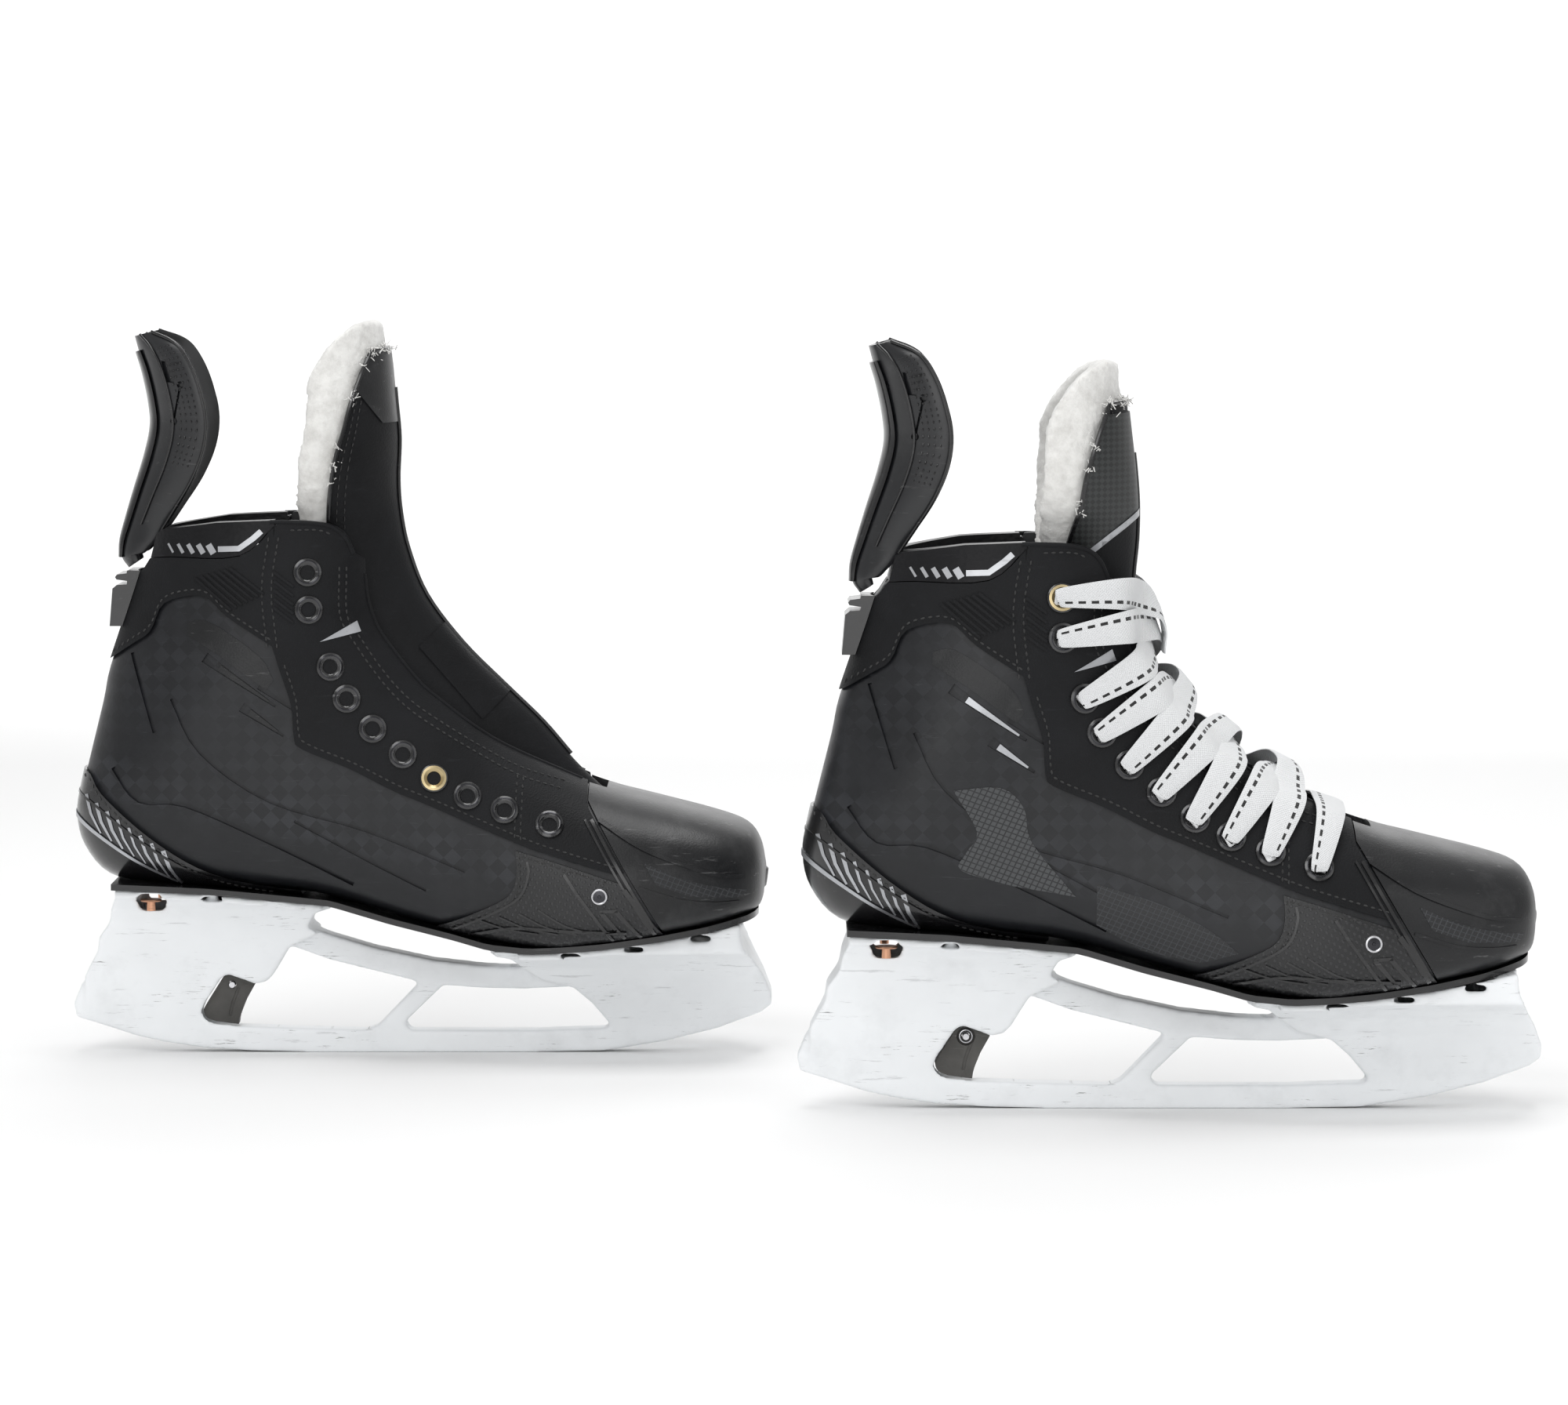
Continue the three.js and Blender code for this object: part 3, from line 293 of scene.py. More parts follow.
def dash(at, go, width, length):
    """A small rounded mark that lies along a direction."""
    bar = bmesh.new()
    bmesh.ops.create_icosphere(bar, subdivisions=1, radius=0.5)
    bmesh.ops.scale(bar, verts=bar.verts, vec=(width, width, length))
    return stand(bar, at, go.normalized())


def gathered(parts):
    """Several bmeshes as one."""
    whole = bmesh.new()
    for part in parts:
        mesh = bpy.data.meshes.new("part")
        part.to_mesh(mesh)
        part.free()
        whole.from_mesh(mesh)
        bpy.data.meshes.remove(mesh)
    return whole


TOOLS = []


def held(mesh):
    """A temporary object that holds a mesh."""
    made = bpy.data.objects.new("tool", mesh)
    bpy.context.scene.collection.objects.link(made)
    TOOLS.append(made)
    return made


def tool(bm):
    """A temporary object for cutting and joining."""
    mesh = bpy.data.meshes.new("tool")
    bm.to_mesh(mesh)
    bm.free()
    return held(mesh)


def applied(base):
    """A temporary object made of another with its modifiers applied."""
    graph = bpy.context.evaluated_depsgraph_get()
    mesh = bpy.data.meshes.new_from_object(base.evaluated_get(graph))
    base.modifiers.clear()
    return held(mesh)


def cut(base, *steps):
    """A temporary object cut by others: each step is an operation and a temporary object."""
    for operation, other in steps:
        change = base.modifiers.new(operation, "BOOLEAN")
        change.operation = operation
        change.solver = "MANIFOLD"
        change.object = other
    return applied(base)


def remeshed(base, cell, passes):
    """A temporary object built again from small cells and smoothed, which rounds its edges."""
    skin = base.modifiers.new("skin", "REMESH")
    skin.mode = "VOXEL"
    skin.voxel_size = cell
    calm = base.modifiers.new("calm", "SMOOTH")
    calm.factor = 0.5
    calm.iterations = passes
    return applied(base)


def edged(made, width, segments, angle):
    """Rounds a finished piece's edges that are sharper than an angle."""
    edge = made.modifiers.new("edge", "BEVEL")
    edge.width = width * MM
    edge.segments = segments
    edge.limit_method = "ANGLE"
    edge.angle_limit = math.radians(angle)


def own_place(p, skate):
    """A place of the pair, in millimetres in the left skate's own frame."""
    way = 1 if skate == "left" else -1
    return Vector((p.x / MM + way * PAIR_STAGGER / 2, way * p.y / MM - PAIR_SPACING / 2, p.z / MM))


def place(mesh, skate):
    """Sets a mesh drawn in the left skate's frame in the pair's frame, with its side view as UVs."""
    side = mesh.uv_layers.get("side") or mesh.uv_layers.new(name="side")
    flat = np.empty(len(mesh.vertices) * 3)
    mesh.vertices.foreach_get("co", flat)
    spots = flat.reshape(-1, 3)
    corner = np.empty(len(mesh.loops), int)
    mesh.loops.foreach_get("vertex_index", corner)
    side.data.foreach_set("uv", (spots[corner][:, [0, 2]] / 100).ravel())
    way = 1 if skate == "left" else -1
    world = spots.copy()
    world[:, 0] -= way * PAIR_STAGGER / 2
    world[:, 1] = way * (PAIR_SPACING / 2 + world[:, 1])
    mesh.vertices.foreach_set("co", (world * MM).ravel())
    if way < 0:
        mesh.flip_normals()
    mesh.update()


def piece(name, source, skate, material, body="skates", replaces=(), slot=None, sharp=32):
    """A finished piece of one skate: source is a temporary object or a bmesh."""
    if isinstance(source, bmesh.types.BMesh):
        mesh = bpy.data.meshes.new(name)
        source.to_mesh(mesh)
        source.free()
    else:
        mesh = source.data.copy()
    place(mesh, skate)
    mesh.shade_smooth()
    mesh.set_sharp_from_angle(angle=math.radians(sharp))
    made = bpy.data.objects.new(skate + "_" + name, mesh)
    bpy.context.scene.collection.objects.link(made)
    mesh.materials.clear()
    mesh.materials.append(material)
    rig.ride(made, body)
    if replaces:
        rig.replaces(made, *[skate + "_" + node for node in replaces])
    if slot:
        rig.slot(made, slot)
    return made


def both(name, source, material, **facts):
    """The same piece on both skates."""
    return [piece(name, source, skate, material, **facts) for skate in ("left", "right")]


# ---------------------------------------------------------------- the boot's surface
SOLE = [
    (-150, 72.5), (-125, 70.9), (-87, 69.1), (-59, 66.5), (-36, 64.3), (-11.5, 57.2), (14, 51),
    (29, 46.8), (45, 45.3), (60, 46), (75, 47.3), (99, 50.5), (117, 53.7), (135, 58), (160, 66),
]


def sole_line(up, start=-150, end=160):
    """The sole line raised by a thickness, from one x to another."""
    xs, zs = zip(*SOLE)
    inner = [x for x in np.arange(start, end, 4) if x > start] + [end]
    return [(x, float(np.interp(x, xs, zs)) + up) for x in [start] + inner]


def on_sole(x):
    return sole_line(BOTTOM, x, x + 1)[0]


# From the toe round the instep to the collar: sole or heel point, top or throat point, half
# width, share of the run where it is widest, squareness of its two halves, lean inwards.
SECTIONS = [
    ((142.1, 71), (142.8, 76.4), 4.5, 0.5, 2.1, 2.1, -5.1),
    ((141.6, 67), (142.4, 80), 12, 0.5, 2.4, 2.4, -5),
    ((139.6, 63.2), (140.4, 88.5), 24, 0.45, 3, 2.4, -4.6),
    ((134, 60.9), (135, 95.4), 33, 0.4, 3.6, 2.4, -4),
    (on_sole(121), (122, 100.2), 40.8, 0.38, 4.3, 2.4, -2.7),
    (on_sole(92), (95, 107), 47.2, 0.34, 5, 2.4, -0.8),
    (on_sole(72), (78, 111.4), 48.5, 0.33, 5, 2.4, 0),
    (on_sole(50), (61, 118.5), 47.6, 0.33, 5, 2.4, 0.6),
    (on_sole(5), (32, 135.4), 42.6, 0.36, 4.8, 2.5, 0.8),
    (on_sole(-38), (10.5, 153.5), 38.6, 0.44, 4.4, 2.7, 0.4),
    (on_sole(-62), (2, 162.5), 37.4, 0.48, 4, 2.8, 0.2),
    (on_sole(-108), (-10, 179.5), 37.4, 0.52, 3.2, 3, 0),
    ((-127.5, 76.5), (-13.5, 187.5), 38, 0.54, 2.8, 3, 0),
    ((-138, 88), (-15.5, 194), 38.6, 0.55, 2.5, 3, 0),
    ((-141.2, 101), (-16.5, 200), 39, 0.56, 2.3, 3, 0),
    ((-139.2, 115), (-17, 205), 39, 0.56, 2.2, 3, 0),
    ((-131.6, 146), (-17.4, 213), 37.8, 0.56, 2.2, 3, 0),
    ((-128.4, 161), (-17.6, 216.5), 36.8, 0.55, 2.2, 3, 0),
    ((-118.5, 190), (-18, 223), 35.4, 0.53, 2.2, 3, 0),
    ((-114, 204), (-18.4, 226), 35.2, 0.52, 2.2, 3, 0),
    ((-111.5, 216), (-19, 229.5), 35.4, 0.52, 2.2, 3, 0),
]
RING_POINTS = 72
SECTION_STEPS = 4
SKINS = {}


def boot(grow, open_collar=False):
    """The boot's outer surface grown by an amount, as a temporary solid."""
    key = (round(grow, 3), open_collar)
    if key in SKINS:
        return SKINS[key]
    rows = through([[*low, *high, *rest] for low, high, *rest in SECTIONS], SECTION_STEPS)
    rings = []
    for i, (x0, z0, x1, z1, half, share, p, q, lean) in enumerate(rows):
        out, run = Vector((x0, z0)), Vector((x1 - x0, z1 - z0))
        length, along = run.length, run.normalized()
        across = Vector((along.y, -along.x))
        if i == 0:
            out += across * grow
        if i == len(rows) - 1:
            out -= across * (grow + (OPEN_TOP if open_collar else 0))
        ring = []
        for k in range(RING_POINTS):
            turn = (k + 0.5) / RING_POINTS * math.tau
            c, s = math.cos(turn), math.sin(turn)
            power = 2 / (p if c < 0 else q)
            a = math.copysign(abs(c) ** power, c)
            b = math.copysign(abs(s) ** power, s)
            reach = (share if c < 0 else 1 - share) * length + grow
            at = out + along * (share * length + a * reach)
            ring.append((at.x, lean + b * max(half + grow, 0.5), at.y))
        rings.append(ring)
    SKINS[key] = tool(lofted(rings))
    return SKINS[key]


THROAT = [
    (76, 108, 0.56), (60, 113, 0.64), (41, 119.5, 0.78), (20, 132, 0.88), (2, 147, 0.94),
    (-11, 162, 0.97), (-20, 178, 1), (-25, 200, 1.02), (-28, 245, 1.06),
]


def throat(extra=0.0, inside=40, outside=30):
    """The opening between the facings, as a temporary solid."""
    rows = through(THROAT, 4)
    rings = []
    for i, (x, z, share) in enumerate(rows):
        before, after = rows[max(i - 1, 0)], rows[min(i + 1, len(rows) - 1)]
        go = Vector((after[0] - before[0], after[1] - before[1])).normalized()
        up = Vector((go.y, -go.x))
        y = THROAT_HALF_GAP * share + extra
        high, low = Vector((x, z)) + up * outside, Vector((x, z)) - up * inside
        rings.append([(low.x, -y, low.y), (high.x, -y, high.y), (high.x, y, high.y), (low.x, y, low.y)])
    return tool(lofted(rings))


TREES = {}


def skin_tree(grow):
    """The grown boot's surface, ready to be met by rays."""
    if grow not in TREES:
        mesh = boot(grow).data
        points = [v.co.copy() for v in mesh.vertices]
        TREES[grow] = BVHTree.FromPolygons(points, [tuple(p.vertices) for p in mesh.polygons])
    return TREES[grow]


def surface(x, z, sign, grow=FACING_TOP):
    """Point and outward direction where a line across the foot meets the grown boot."""
    start, go = Vector((x, sign * 2 * REACH, z)), Vector((0, -sign, 0))
    at, normal, _, _ = skin_tree(grow).ray_cast(start, go)
    if at is None:
        raise ValueError(f"no boot surface at {x}, {z}")
    return at, normal if normal.y * sign > 0 else -normal


TOP_EDGE = [
    (-160, 194), (-122, 194), (-113, 202), *soft([(-110, 206.4), (-99.7, 207.4), (-71.6, 208.3),
    (-57, 220.7), (-54, 222.8), (-40.2, 222.3), (-32.8, 220.2), (-28, 215.9), (-25, 209)], 4),
    (-10, 200), (70, 200),
]
TOE_EDGE = [(70, 130), *soft([(69.6, 108), (85.3, 80.3), (103.5, 50)], 4), (105, 35)]
BOOT_REGION = TOP_EDGE + TOE_EDGE + [(-160, 35)]
TOE_REGION = [(x + GAP, z) for x, z in TOE_EDGE[:-2]] + sole_line(BOTTOM, 101.6, 155) + [(160, 130)]
FACING_SEAM = soft([(-57, 235), (-57, 220.7), (-60.5, 196), (-58.3, 171.8)])
FACING_LOWER = soft([
    (-58.3, 171.8), (-55.1, 161.2), (-50.8, 147.4), (-49.8, 134.5), (-46.6, 129.7), (-27.4, 121.7),
    (-9.4, 112.7), (5, 106.9), (40.7, 92), (58.8, 86), (81, 79.5),
])
QUARTER_TOP = soft([
    (-160, 143), (-120, 169.7), (-109.3, 177.1), (-103, 188.8), (-87, 192), (-76.3, 183.5),
    (-58.3, 171.8),
])
HEEL_TOP = soft([
    (-160, 118.8), (-138, 118.8), (-130, 110), (-110, 93), (-90, 80), (-70, 73.5), (-48, 70.5),
])
FOREFOOT_TOP = soft([(8, 56.6), (25.8, 63.8), (38, 70.5), (41.2, 79.2), (40.7, 88.8)]) + soft(
    [(40.7, 88.8), (58.8, 83.5), (84, 75.4)])
EYELETS = [
    (-43.9, 201.8), (-43.4, 186.7), (-34.9, 163.3), (-28.3, 150.2), (-17.8, 137.9), (-5.5, 127.5),
    (7.3, 117.8), (21, 110.7), (36.1, 105), (54.5, 99.3),
]


def layer(low, high, outlines, opened=True, span=(-REACH, REACH), inside_boot=True):
    """The part of the boot's wall between two depths that side view outlines mark off."""
    steps = [("DIFFERENCE", boot(low, True)), ("INTERSECT", tool(prism(outlines, *span)))]
    if opened:
        steps.append(("DIFFERENCE", OPENING))
    if inside_boot:
        steps.append(("INTERSECT", WHOLE))
    return cut(boot(high), *steps)


OPENING = throat()
WHOLE = tool(prism([BOOT_REGION]))


# ---------------------------------------------------------------- shader groups
def group(name, inputs, outputs):
    """An empty shader group with its sockets."""
    tree = bpy.data.node_groups.new(name, "ShaderNodeTree")
    for title, kind, value in inputs:
        socket = tree.interface.new_socket(title, in_out="INPUT", socket_type="NodeSocket" + kind)
        if value is not None:
            socket.default_value = value
    for title, kind in outputs:
        tree.interface.new_socket(title, in_out="OUTPUT", socket_type="NodeSocket" + kind)
    return tree


def node(tree, kind, values=None, **settings):
    """A shader node with its settings and the values of its sockets."""
    made = tree.nodes.new("ShaderNode" + kind)
    for key, value in settings.items():
        setattr(made, key, value)
    for key, value in (values or {}).items():
        made.inputs[key].default_value = value
    return made


def ramp(tree, source, stops):
    """A ramp over a source, through stops of a place and a colour."""
    made = tree.nodes.new("ShaderNodeValToRGB")
    band = made.color_ramp
    while len(band.elements) < len(stops):
        band.elements.new(0.5)
    for element, (at, color) in zip(band.elements, stops):
        element.position = at
        element.color = color if len(color) == 4 else (*color, 1)
    tree.links.new(source, made.inputs[0])
    return made.outputs[0]


def grey(value):
    return (value, value, value, 1)


def grain_group():
    """Fine pebbled grain: a height and a mask of slow variation."""
    tree = group("fine_grain", [("Vector", "Vector", None), ("Scale", "Float", 900.0)],
                 [("Height", "Float"), ("Patches", "Float")])
    start, end = tree.nodes.new("NodeGroupInput"), tree.nodes.new("NodeGroupOutput")
    cells = node(tree, "TexVoronoi", feature="SMOOTH_F1")
    cells.inputs["Smoothness"].default_value = 0.6
    slow = node(tree, "TexNoise", {"Scale": 28.0, "Detail": 4.0, "Roughness": 0.6})
    for pair in ((start.outputs["Vector"], cells.inputs["Vector"]),
                 (start.outputs["Scale"], cells.inputs["Scale"]),
                 (start.outputs["Vector"], slow.inputs["Vector"]),
                 (cells.outputs["Distance"], end.inputs["Height"]),
                 (slow.outputs["Fac"], end.inputs["Patches"])):
        tree.links.new(*pair)
    return tree


def scuff_group():
    """Thin scattered scratches and soft rubs, as masks."""
    tree = group("scuffs", [("Vector", "Vector", None), ("Amount", "Float", 0.5)],
                 [("Scratches", "Float"), ("Rubs", "Float")])
    start, end = tree.nodes.new("NodeGroupInput"), tree.nodes.new("NodeGroupOutput")
    stretch = node(tree, "Mapping", {"Rotation": (0.2, 0.5, 0.3), "Scale": (14, 60, 160)})
    lines = node(tree, "TexNoise", {"Scale": 3.0, "Detail": 5.0, "Roughness": 0.7})
    cloud = node(tree, "TexNoise", {"Scale": 45.0, "Detail": 6.0, "Roughness": 0.65})
    tree.links.new(start.outputs["Vector"], stretch.inputs["Vector"])
    tree.links.new(stretch.outputs["Vector"], lines.inputs["Vector"])
    tree.links.new(start.outputs["Vector"], cloud.inputs["Vector"])
    sharp = ramp(tree, lines.outputs["Fac"], [(0.62, grey(0)), (0.68, grey(1))])
    wide = ramp(tree, cloud.outputs["Fac"], [(0.52, grey(0)), (0.75, grey(1))])
    for source, title in ((sharp, "Scratches"), (wide, "Rubs")):
        times = node(tree, "Math", operation="MULTIPLY")
        tree.links.new(source, times.inputs[0])
        tree.links.new(start.outputs["Amount"], times.inputs[1])
        tree.links.new(times.outputs[0], end.inputs[title])
    return tree


GRAIN, SCUFFS = grain_group(), scuff_group()


class Finish:
    """A material with one Principled shader, and helpers to wire patterns into it."""

    def __init__(self, name, color, roughness, **sockets):
        self.made = bpy.data.materials.new(name)
        self.made.use_nodes = True
        self.tree = self.made.node_tree
        self.shader = self.tree.nodes["Principled BSDF"]
        self.shader.inputs["Base Color"].default_value = (*color, 1)
        self.shader.inputs["Roughness"].default_value = roughness
        for key, value in sockets.items():
            title = key.replace("_", " ").title().replace("Ior", "IOR")
            self.shader.inputs[title].default_value = value
        self.color = color
        self.place = node(self.tree, "TexCoord").outputs["Object"]

    def link(self, a, b):
        self.tree.links.new(a, b)

    def side(self, scale=(1, 1, 1), turn=0.0):
        """The side view map, scaled and turned."""
        uv = node(self.tree, "UVMap", uv_map="side")
        move = node(self.tree, "Mapping", {"Scale": scale, "Rotation": (0, 0, turn)})
        self.link(uv.outputs[0], move.inputs[0])
        return move.outputs[0]

    def mix(self, mask, a, b):
        """One colour where the mask is 0 and another where it is 1; either may be a socket."""
        made = node(self.tree, "Mix", data_type="RGBA")
        self.link(mask, made.inputs[0])
        for value, socket in ((a, made.inputs[6]), (b, made.inputs[7])):
            if isinstance(value, bpy.types.NodeSocket):
                self.link(value, socket)
            else:
                socket.default_value = (*value, 1)
        return made.outputs[2]

    def math(self, operation, a, b=0.5):
        made = node(self.tree, "Math", operation=operation)
        for value, socket in ((a, made.inputs[0]), (b, made.inputs[1])):
            if isinstance(value, bpy.types.NodeSocket):
                self.link(value, socket)
            else:
                socket.default_value = value
        return made.outputs[0]

    def paint(self, color, roughness=None):
        self.link(color, self.shader.inputs["Base Color"])
        if roughness is not None:
            self.link(roughness, self.shader.inputs["Roughness"])

    def bump(self, height, strength, distance=0.0004):
        made = node(self.tree, "Bump", {"Strength": strength, "Distance": distance})
        self.link(height, made.inputs["Height"])
        before = self.shader.inputs["Normal"].links
        if before:
            self.link(before[0].from_socket, made.inputs["Normal"])
        self.link(made.outputs[0], self.shader.inputs["Normal"])

    def grain(self, scale=900.0, strength=0.3, dark=0.75, light=1.35, distance=0.0003):
        """Pebbled grain with slow changes of tone and gloss."""
        g = node(self.tree, "Group", node_tree=GRAIN)
        g.inputs["Scale"].default_value = scale
        self.link(self.place, g.inputs["Vector"])
        self.bump(g.outputs["Height"], strength, distance)
        tone = ramp(self.tree, g.outputs["Patches"], [
            (0.3, tuple(c * dark for c in self.color)), (0.7, tuple(c * light for c in self.color))])
        base = self.shader.inputs["Roughness"].default_value
        gloss = ramp(self.tree, g.outputs["Patches"], [
            (0.3, grey(base * 0.85)), (0.7, grey(min(base * 1.15, 1)))])
        self.paint(tone, gloss)
        return tone

    def scuffs(self, tint, amount=0.5):
        """Scratches and rubs over whatever colour there is."""
        s = node(self.tree, "Group", node_tree=SCUFFS)
        s.inputs["Amount"].default_value = amount
        self.link(self.place, s.inputs["Vector"])
        worn = self.math("MAXIMUM", s.outputs["Scratches"], self.math("MULTIPLY", s.outputs["Rubs"], 0.4))
        links = self.shader.inputs["Base Color"].links
        under = links[0].from_socket if links else self.color
        self.paint(self.mix(worn, under, tint))

    def diamonds(self, scale):
        """A check turned by half a right angle over the side view: 0 or 1."""
        check = node(self.tree, "TexChecker", {"Scale": 1.0})
        self.link(self.side((scale, scale, 1), math.radians(45)), check.inputs["Vector"])
        return check.outputs["Fac"]


def carbon():
    """Charcoal shell with faint diamonds that fade out above and below the middle."""
    m = Finish("charcoal_composite", (0.0088, 0.0094, 0.0112), 0.42, coat_weight=0.12, coat_roughness=0.3,
               specular_ior_level=0.32)
    under = m.grain(700, 0.1, 0.8, 1.25)
    check = m.diamonds(19)
    parts = node(m.tree, "SeparateXYZ")
    m.link(m.side(), parts.inputs[0])
    level = m.math("ADD", parts.outputs[1], m.math("MULTIPLY", parts.outputs[0], 0.22))
    band = ramp(m.tree, level, [(0.78, grey(0)), (0.86, grey(1)), (0.96, grey(0.8)), (1.0, grey(0.45))])
    drop = node(m.tree, "TexNoise", {"Scale": 3.2, "Detail": 3.0, "Roughness": 0.6})
    m.link(m.side(), drop.inputs["Vector"])
    some = ramp(m.tree, drop.outputs["Fac"], [(0.4, grey(0.15)), (0.58, grey(1))])
    mask = m.math("MULTIPLY", m.math("MULTIPLY", check, band), some)
    m.paint(m.mix(m.math("MULTIPLY", mask, 0.8), under, (0.025, 0.0265, 0.031)))
    m.scuffs((0.07, 0.072, 0.078), 0.2)
    return m.made


def hex_mesh(name, cell, line):
    """Flat cells of six sides with raised lines between them."""
    m = Finish(name, cell, 0.42)
    cells = node(m.tree, "TexVoronoi", {"Scale": 1.0, "Randomness": 0.0}, feature="DISTANCE_TO_EDGE")
    m.link(m.side((44, 50.8, 1), 0.4), cells.inputs["Vector"])
    lines = ramp(m.tree, cells.outputs["Distance"], [(0.06, grey(1)), (0.13, grey(0))])
    m.paint(m.mix(lines, cell, line))
    m.bump(lines, 0.5, 0.0004)
    return m.made


def leather(name, color=(0.0075, 0.0078, 0.0088), roughness=0.6, scale=1100):
    """Grained leather with a little wear."""
    m = Finish(name, color, roughness, specular_ior_level=0.18)
    m.grain(scale, 0.35, 0.7, 1.5)
    m.scuffs(tuple(c * 4 for c in color), 0.2)
    return m.made


def gloss_rubber():
    m = Finish("gloss_rubber", (0.006, 0.006, 0.0066), 0.24, coat_weight=0.3, coat_roughness=0.15)
    m.grain(500, 0.06, 0.8, 1.4)
    m.scuffs((0.09, 0.09, 0.092), 0.35)
    return m.made


def dotted_rubber():
    """Forefoot rubber with rows of small raised dots."""
    m = Finish("dotted_rubber", (0.007, 0.0072, 0.008), 0.34)
    under = m.grain(600, 0.08, 0.8, 1.3)
    dots = node(m.tree, "TexVoronoi", {"Scale": 1.0, "Randomness": 0.0})
    m.link(m.side((42, 42, 1), 0.5), dots.inputs["Vector"])
    mask = ramp(m.tree, dots.outputs["Distance"], [(0.2, grey(1)), (0.3, grey(0))])
    m.paint(m.mix(m.math("MULTIPLY", mask, 0.6), under, (0.03, 0.03, 0.032)))
    m.bump(mask, 0.5, 0.0004)
    return m.made


def satin():
    m = Finish("satin_black", (0.0085, 0.0088, 0.0098), 0.36, coat_weight=0.1, coat_roughness=0.35,
               specular_ior_level=0.35)
    m.grain(1200, 0.14, 0.8, 1.3)
    m.scuffs((0.1, 0.1, 0.102), 0.65)
    return m.made


def felt():
    m = Finish("brushed_felt", (0.78, 0.775, 0.75), 0.95, sheen_weight=0.6, sheen_roughness=0.6)
    fibres = node(m.tree, "TexNoise", {"Scale": 900.0, "Detail": 6.0, "Roughness": 0.75, "Distortion": 1.5})
    tufts = node(m.tree, "TexNoise", {"Scale": 130.0, "Detail": 5.0, "Roughness": 0.7})
    for texture in (fibres, tufts):
        m.link(m.place, texture.inputs["Vector"])
    m.bump(tufts.outputs["Fac"], 0.7, 0.0012)
    m.bump(fibres.outputs["Fac"], 0.5, 0.0004)
    tone = ramp(m.tree, tufts.outputs["Fac"], [(0.3, (0.62, 0.61, 0.585)), (0.6, (0.83, 0.825, 0.80))])
    m.paint(tone)
    return m.made


def lining():
    m = Finish("napped_lining", (0.016, 0.016, 0.018), 0.92, sheen_weight=0.3)
    m.grain(1500, 0.5, 0.6, 1.6, 0.0005)
    return m.made


def guard_plastic():
    m = Finish("moulded_black", (0.0085, 0.009, 0.0105), 0.32, coat_weight=0.2, coat_roughness=0.2)
    m.grain(800, 0.06, 0.85, 1.25)
    m.scuffs((0.1, 0.1, 0.1), 0.3)
    return m.made


def holder_white():
    m = Finish("holder_white", (0.87, 0.89, 0.905), 0.38)
    m.grain(300, 0.05, 0.97, 1.03)
    m.scuffs((0.42, 0.43, 0.44), 0.45)
    streak = node(m.tree, "TexNoise", {"Scale": 2.4, "Detail": 5.0, "Roughness": 0.7})
    m.link(m.side((4, 60, 1), 0.12), streak.inputs["Vector"])
    marks = node(m.tree, "TexNoise", {"Scale": 3.0, "Detail": 1.0})
    m.link(m.side((1, 2, 1)), marks.inputs["Vector"])
    mask = m.math("MULTIPLY", ramp(m.tree, streak.outputs["Fac"], [(0.60, grey(0)), (0.66, grey(1))]),
                  ramp(m.tree, marks.outputs["Fac"], [(0.56, grey(0)), (0.62, grey(1))]))
    under = m.shader.inputs["Base Color"].links[0].from_socket
    m.paint(m.mix(mask, under, (0.2, 0.2, 0.2)))
    return m.made


def metal(name, color, roughness, worn=None):
    m = Finish(name, color, roughness, metallic=1.0)
    m.grain(400, 0.05, 0.85, 1.1)
    if worn:
        m.scuffs(worn, 0.7)
    return m.made


def enamel():
    m = Finish("black_enamel", (0.009, 0.009, 0.0095), 0.2, coat_weight=0.5, coat_roughness=0.1)
    m.grain(300, 0.04, 0.9, 1.2)
    m.scuffs((0.3, 0.3, 0.31), 0.35)
    return m.made


def thread():
    m = Finish("black_thread", (0.02, 0.02, 0.022), 0.5)
    twist = node(m.tree, "TexWave", {"Scale": 900.0, "Distortion": 0.5})
    m.link(m.place, twist.inputs["Vector"])
    m.bump(twist.outputs["Fac"], 0.5, 0.0002)
    # The twist's crests are painted lighter than its grooves: painted highlight along the twist, painted shade in its
    # grooves.
    m.paint(ramp(m.tree, twist.outputs["Fac"], [(0.2, grey(0.003)), (0.8, grey(0.05))]))
    return m.made


def grey_trim(name="silver_trim", color=(0.42, 0.43, 0.45)):
    m = Finish(name, color, 0.3, metallic=0.75)
    m.grain(600, 0.06, 0.85, 1.15)
    m.scuffs(tuple(c * 0.5 for c in color), 0.4)
    return m.made


def lace_white():
    """Flat woven lace with a dashed black tracer beside one edge; runs along its own map."""
    m = Finish("woven_lace", (0.80, 0.81, 0.82), 0.85, sheen_weight=0.3)
    uv = node(m.tree, "UVMap", uv_map="lace")
    parts = node(m.tree, "SeparateXYZ")
    m.link(uv.outputs[0], parts.inputs[0])
    along, across = parts.outputs[0], parts.outputs[1]
    ribs = m.math("SINE", m.math("MULTIPLY", along, 5200.0), 0)
    rows = m.math("SINE", m.math("MULTIPLY", across, 62.0), 0)
    height = m.math("MULTIPLY", ribs, rows)
    m.bump(height, 0.6, 0.0003)
    near = m.math("LESS_THAN", m.math("ABSOLUTE", m.math("SUBTRACT", across, 0.24), 0), 0.055)
    dash = m.math("GREATER_THAN", m.math("SINE", m.math("MULTIPLY", along, 1250.0), 0), -0.25)
    # The weave's hollows are painted a little darker and its crowns a little lighter, following the bump's height:
    # painted shade and painted highlight.
    base = m.mix(m.math("MULTIPLY_ADD", height, 0.12), (0.70, 0.71, 0.72), (0.84, 0.85, 0.86))
    m.paint(m.mix(m.math("MULTIPLY", near, dash), base, (0.012, 0.012, 0.012)))
    return m.made


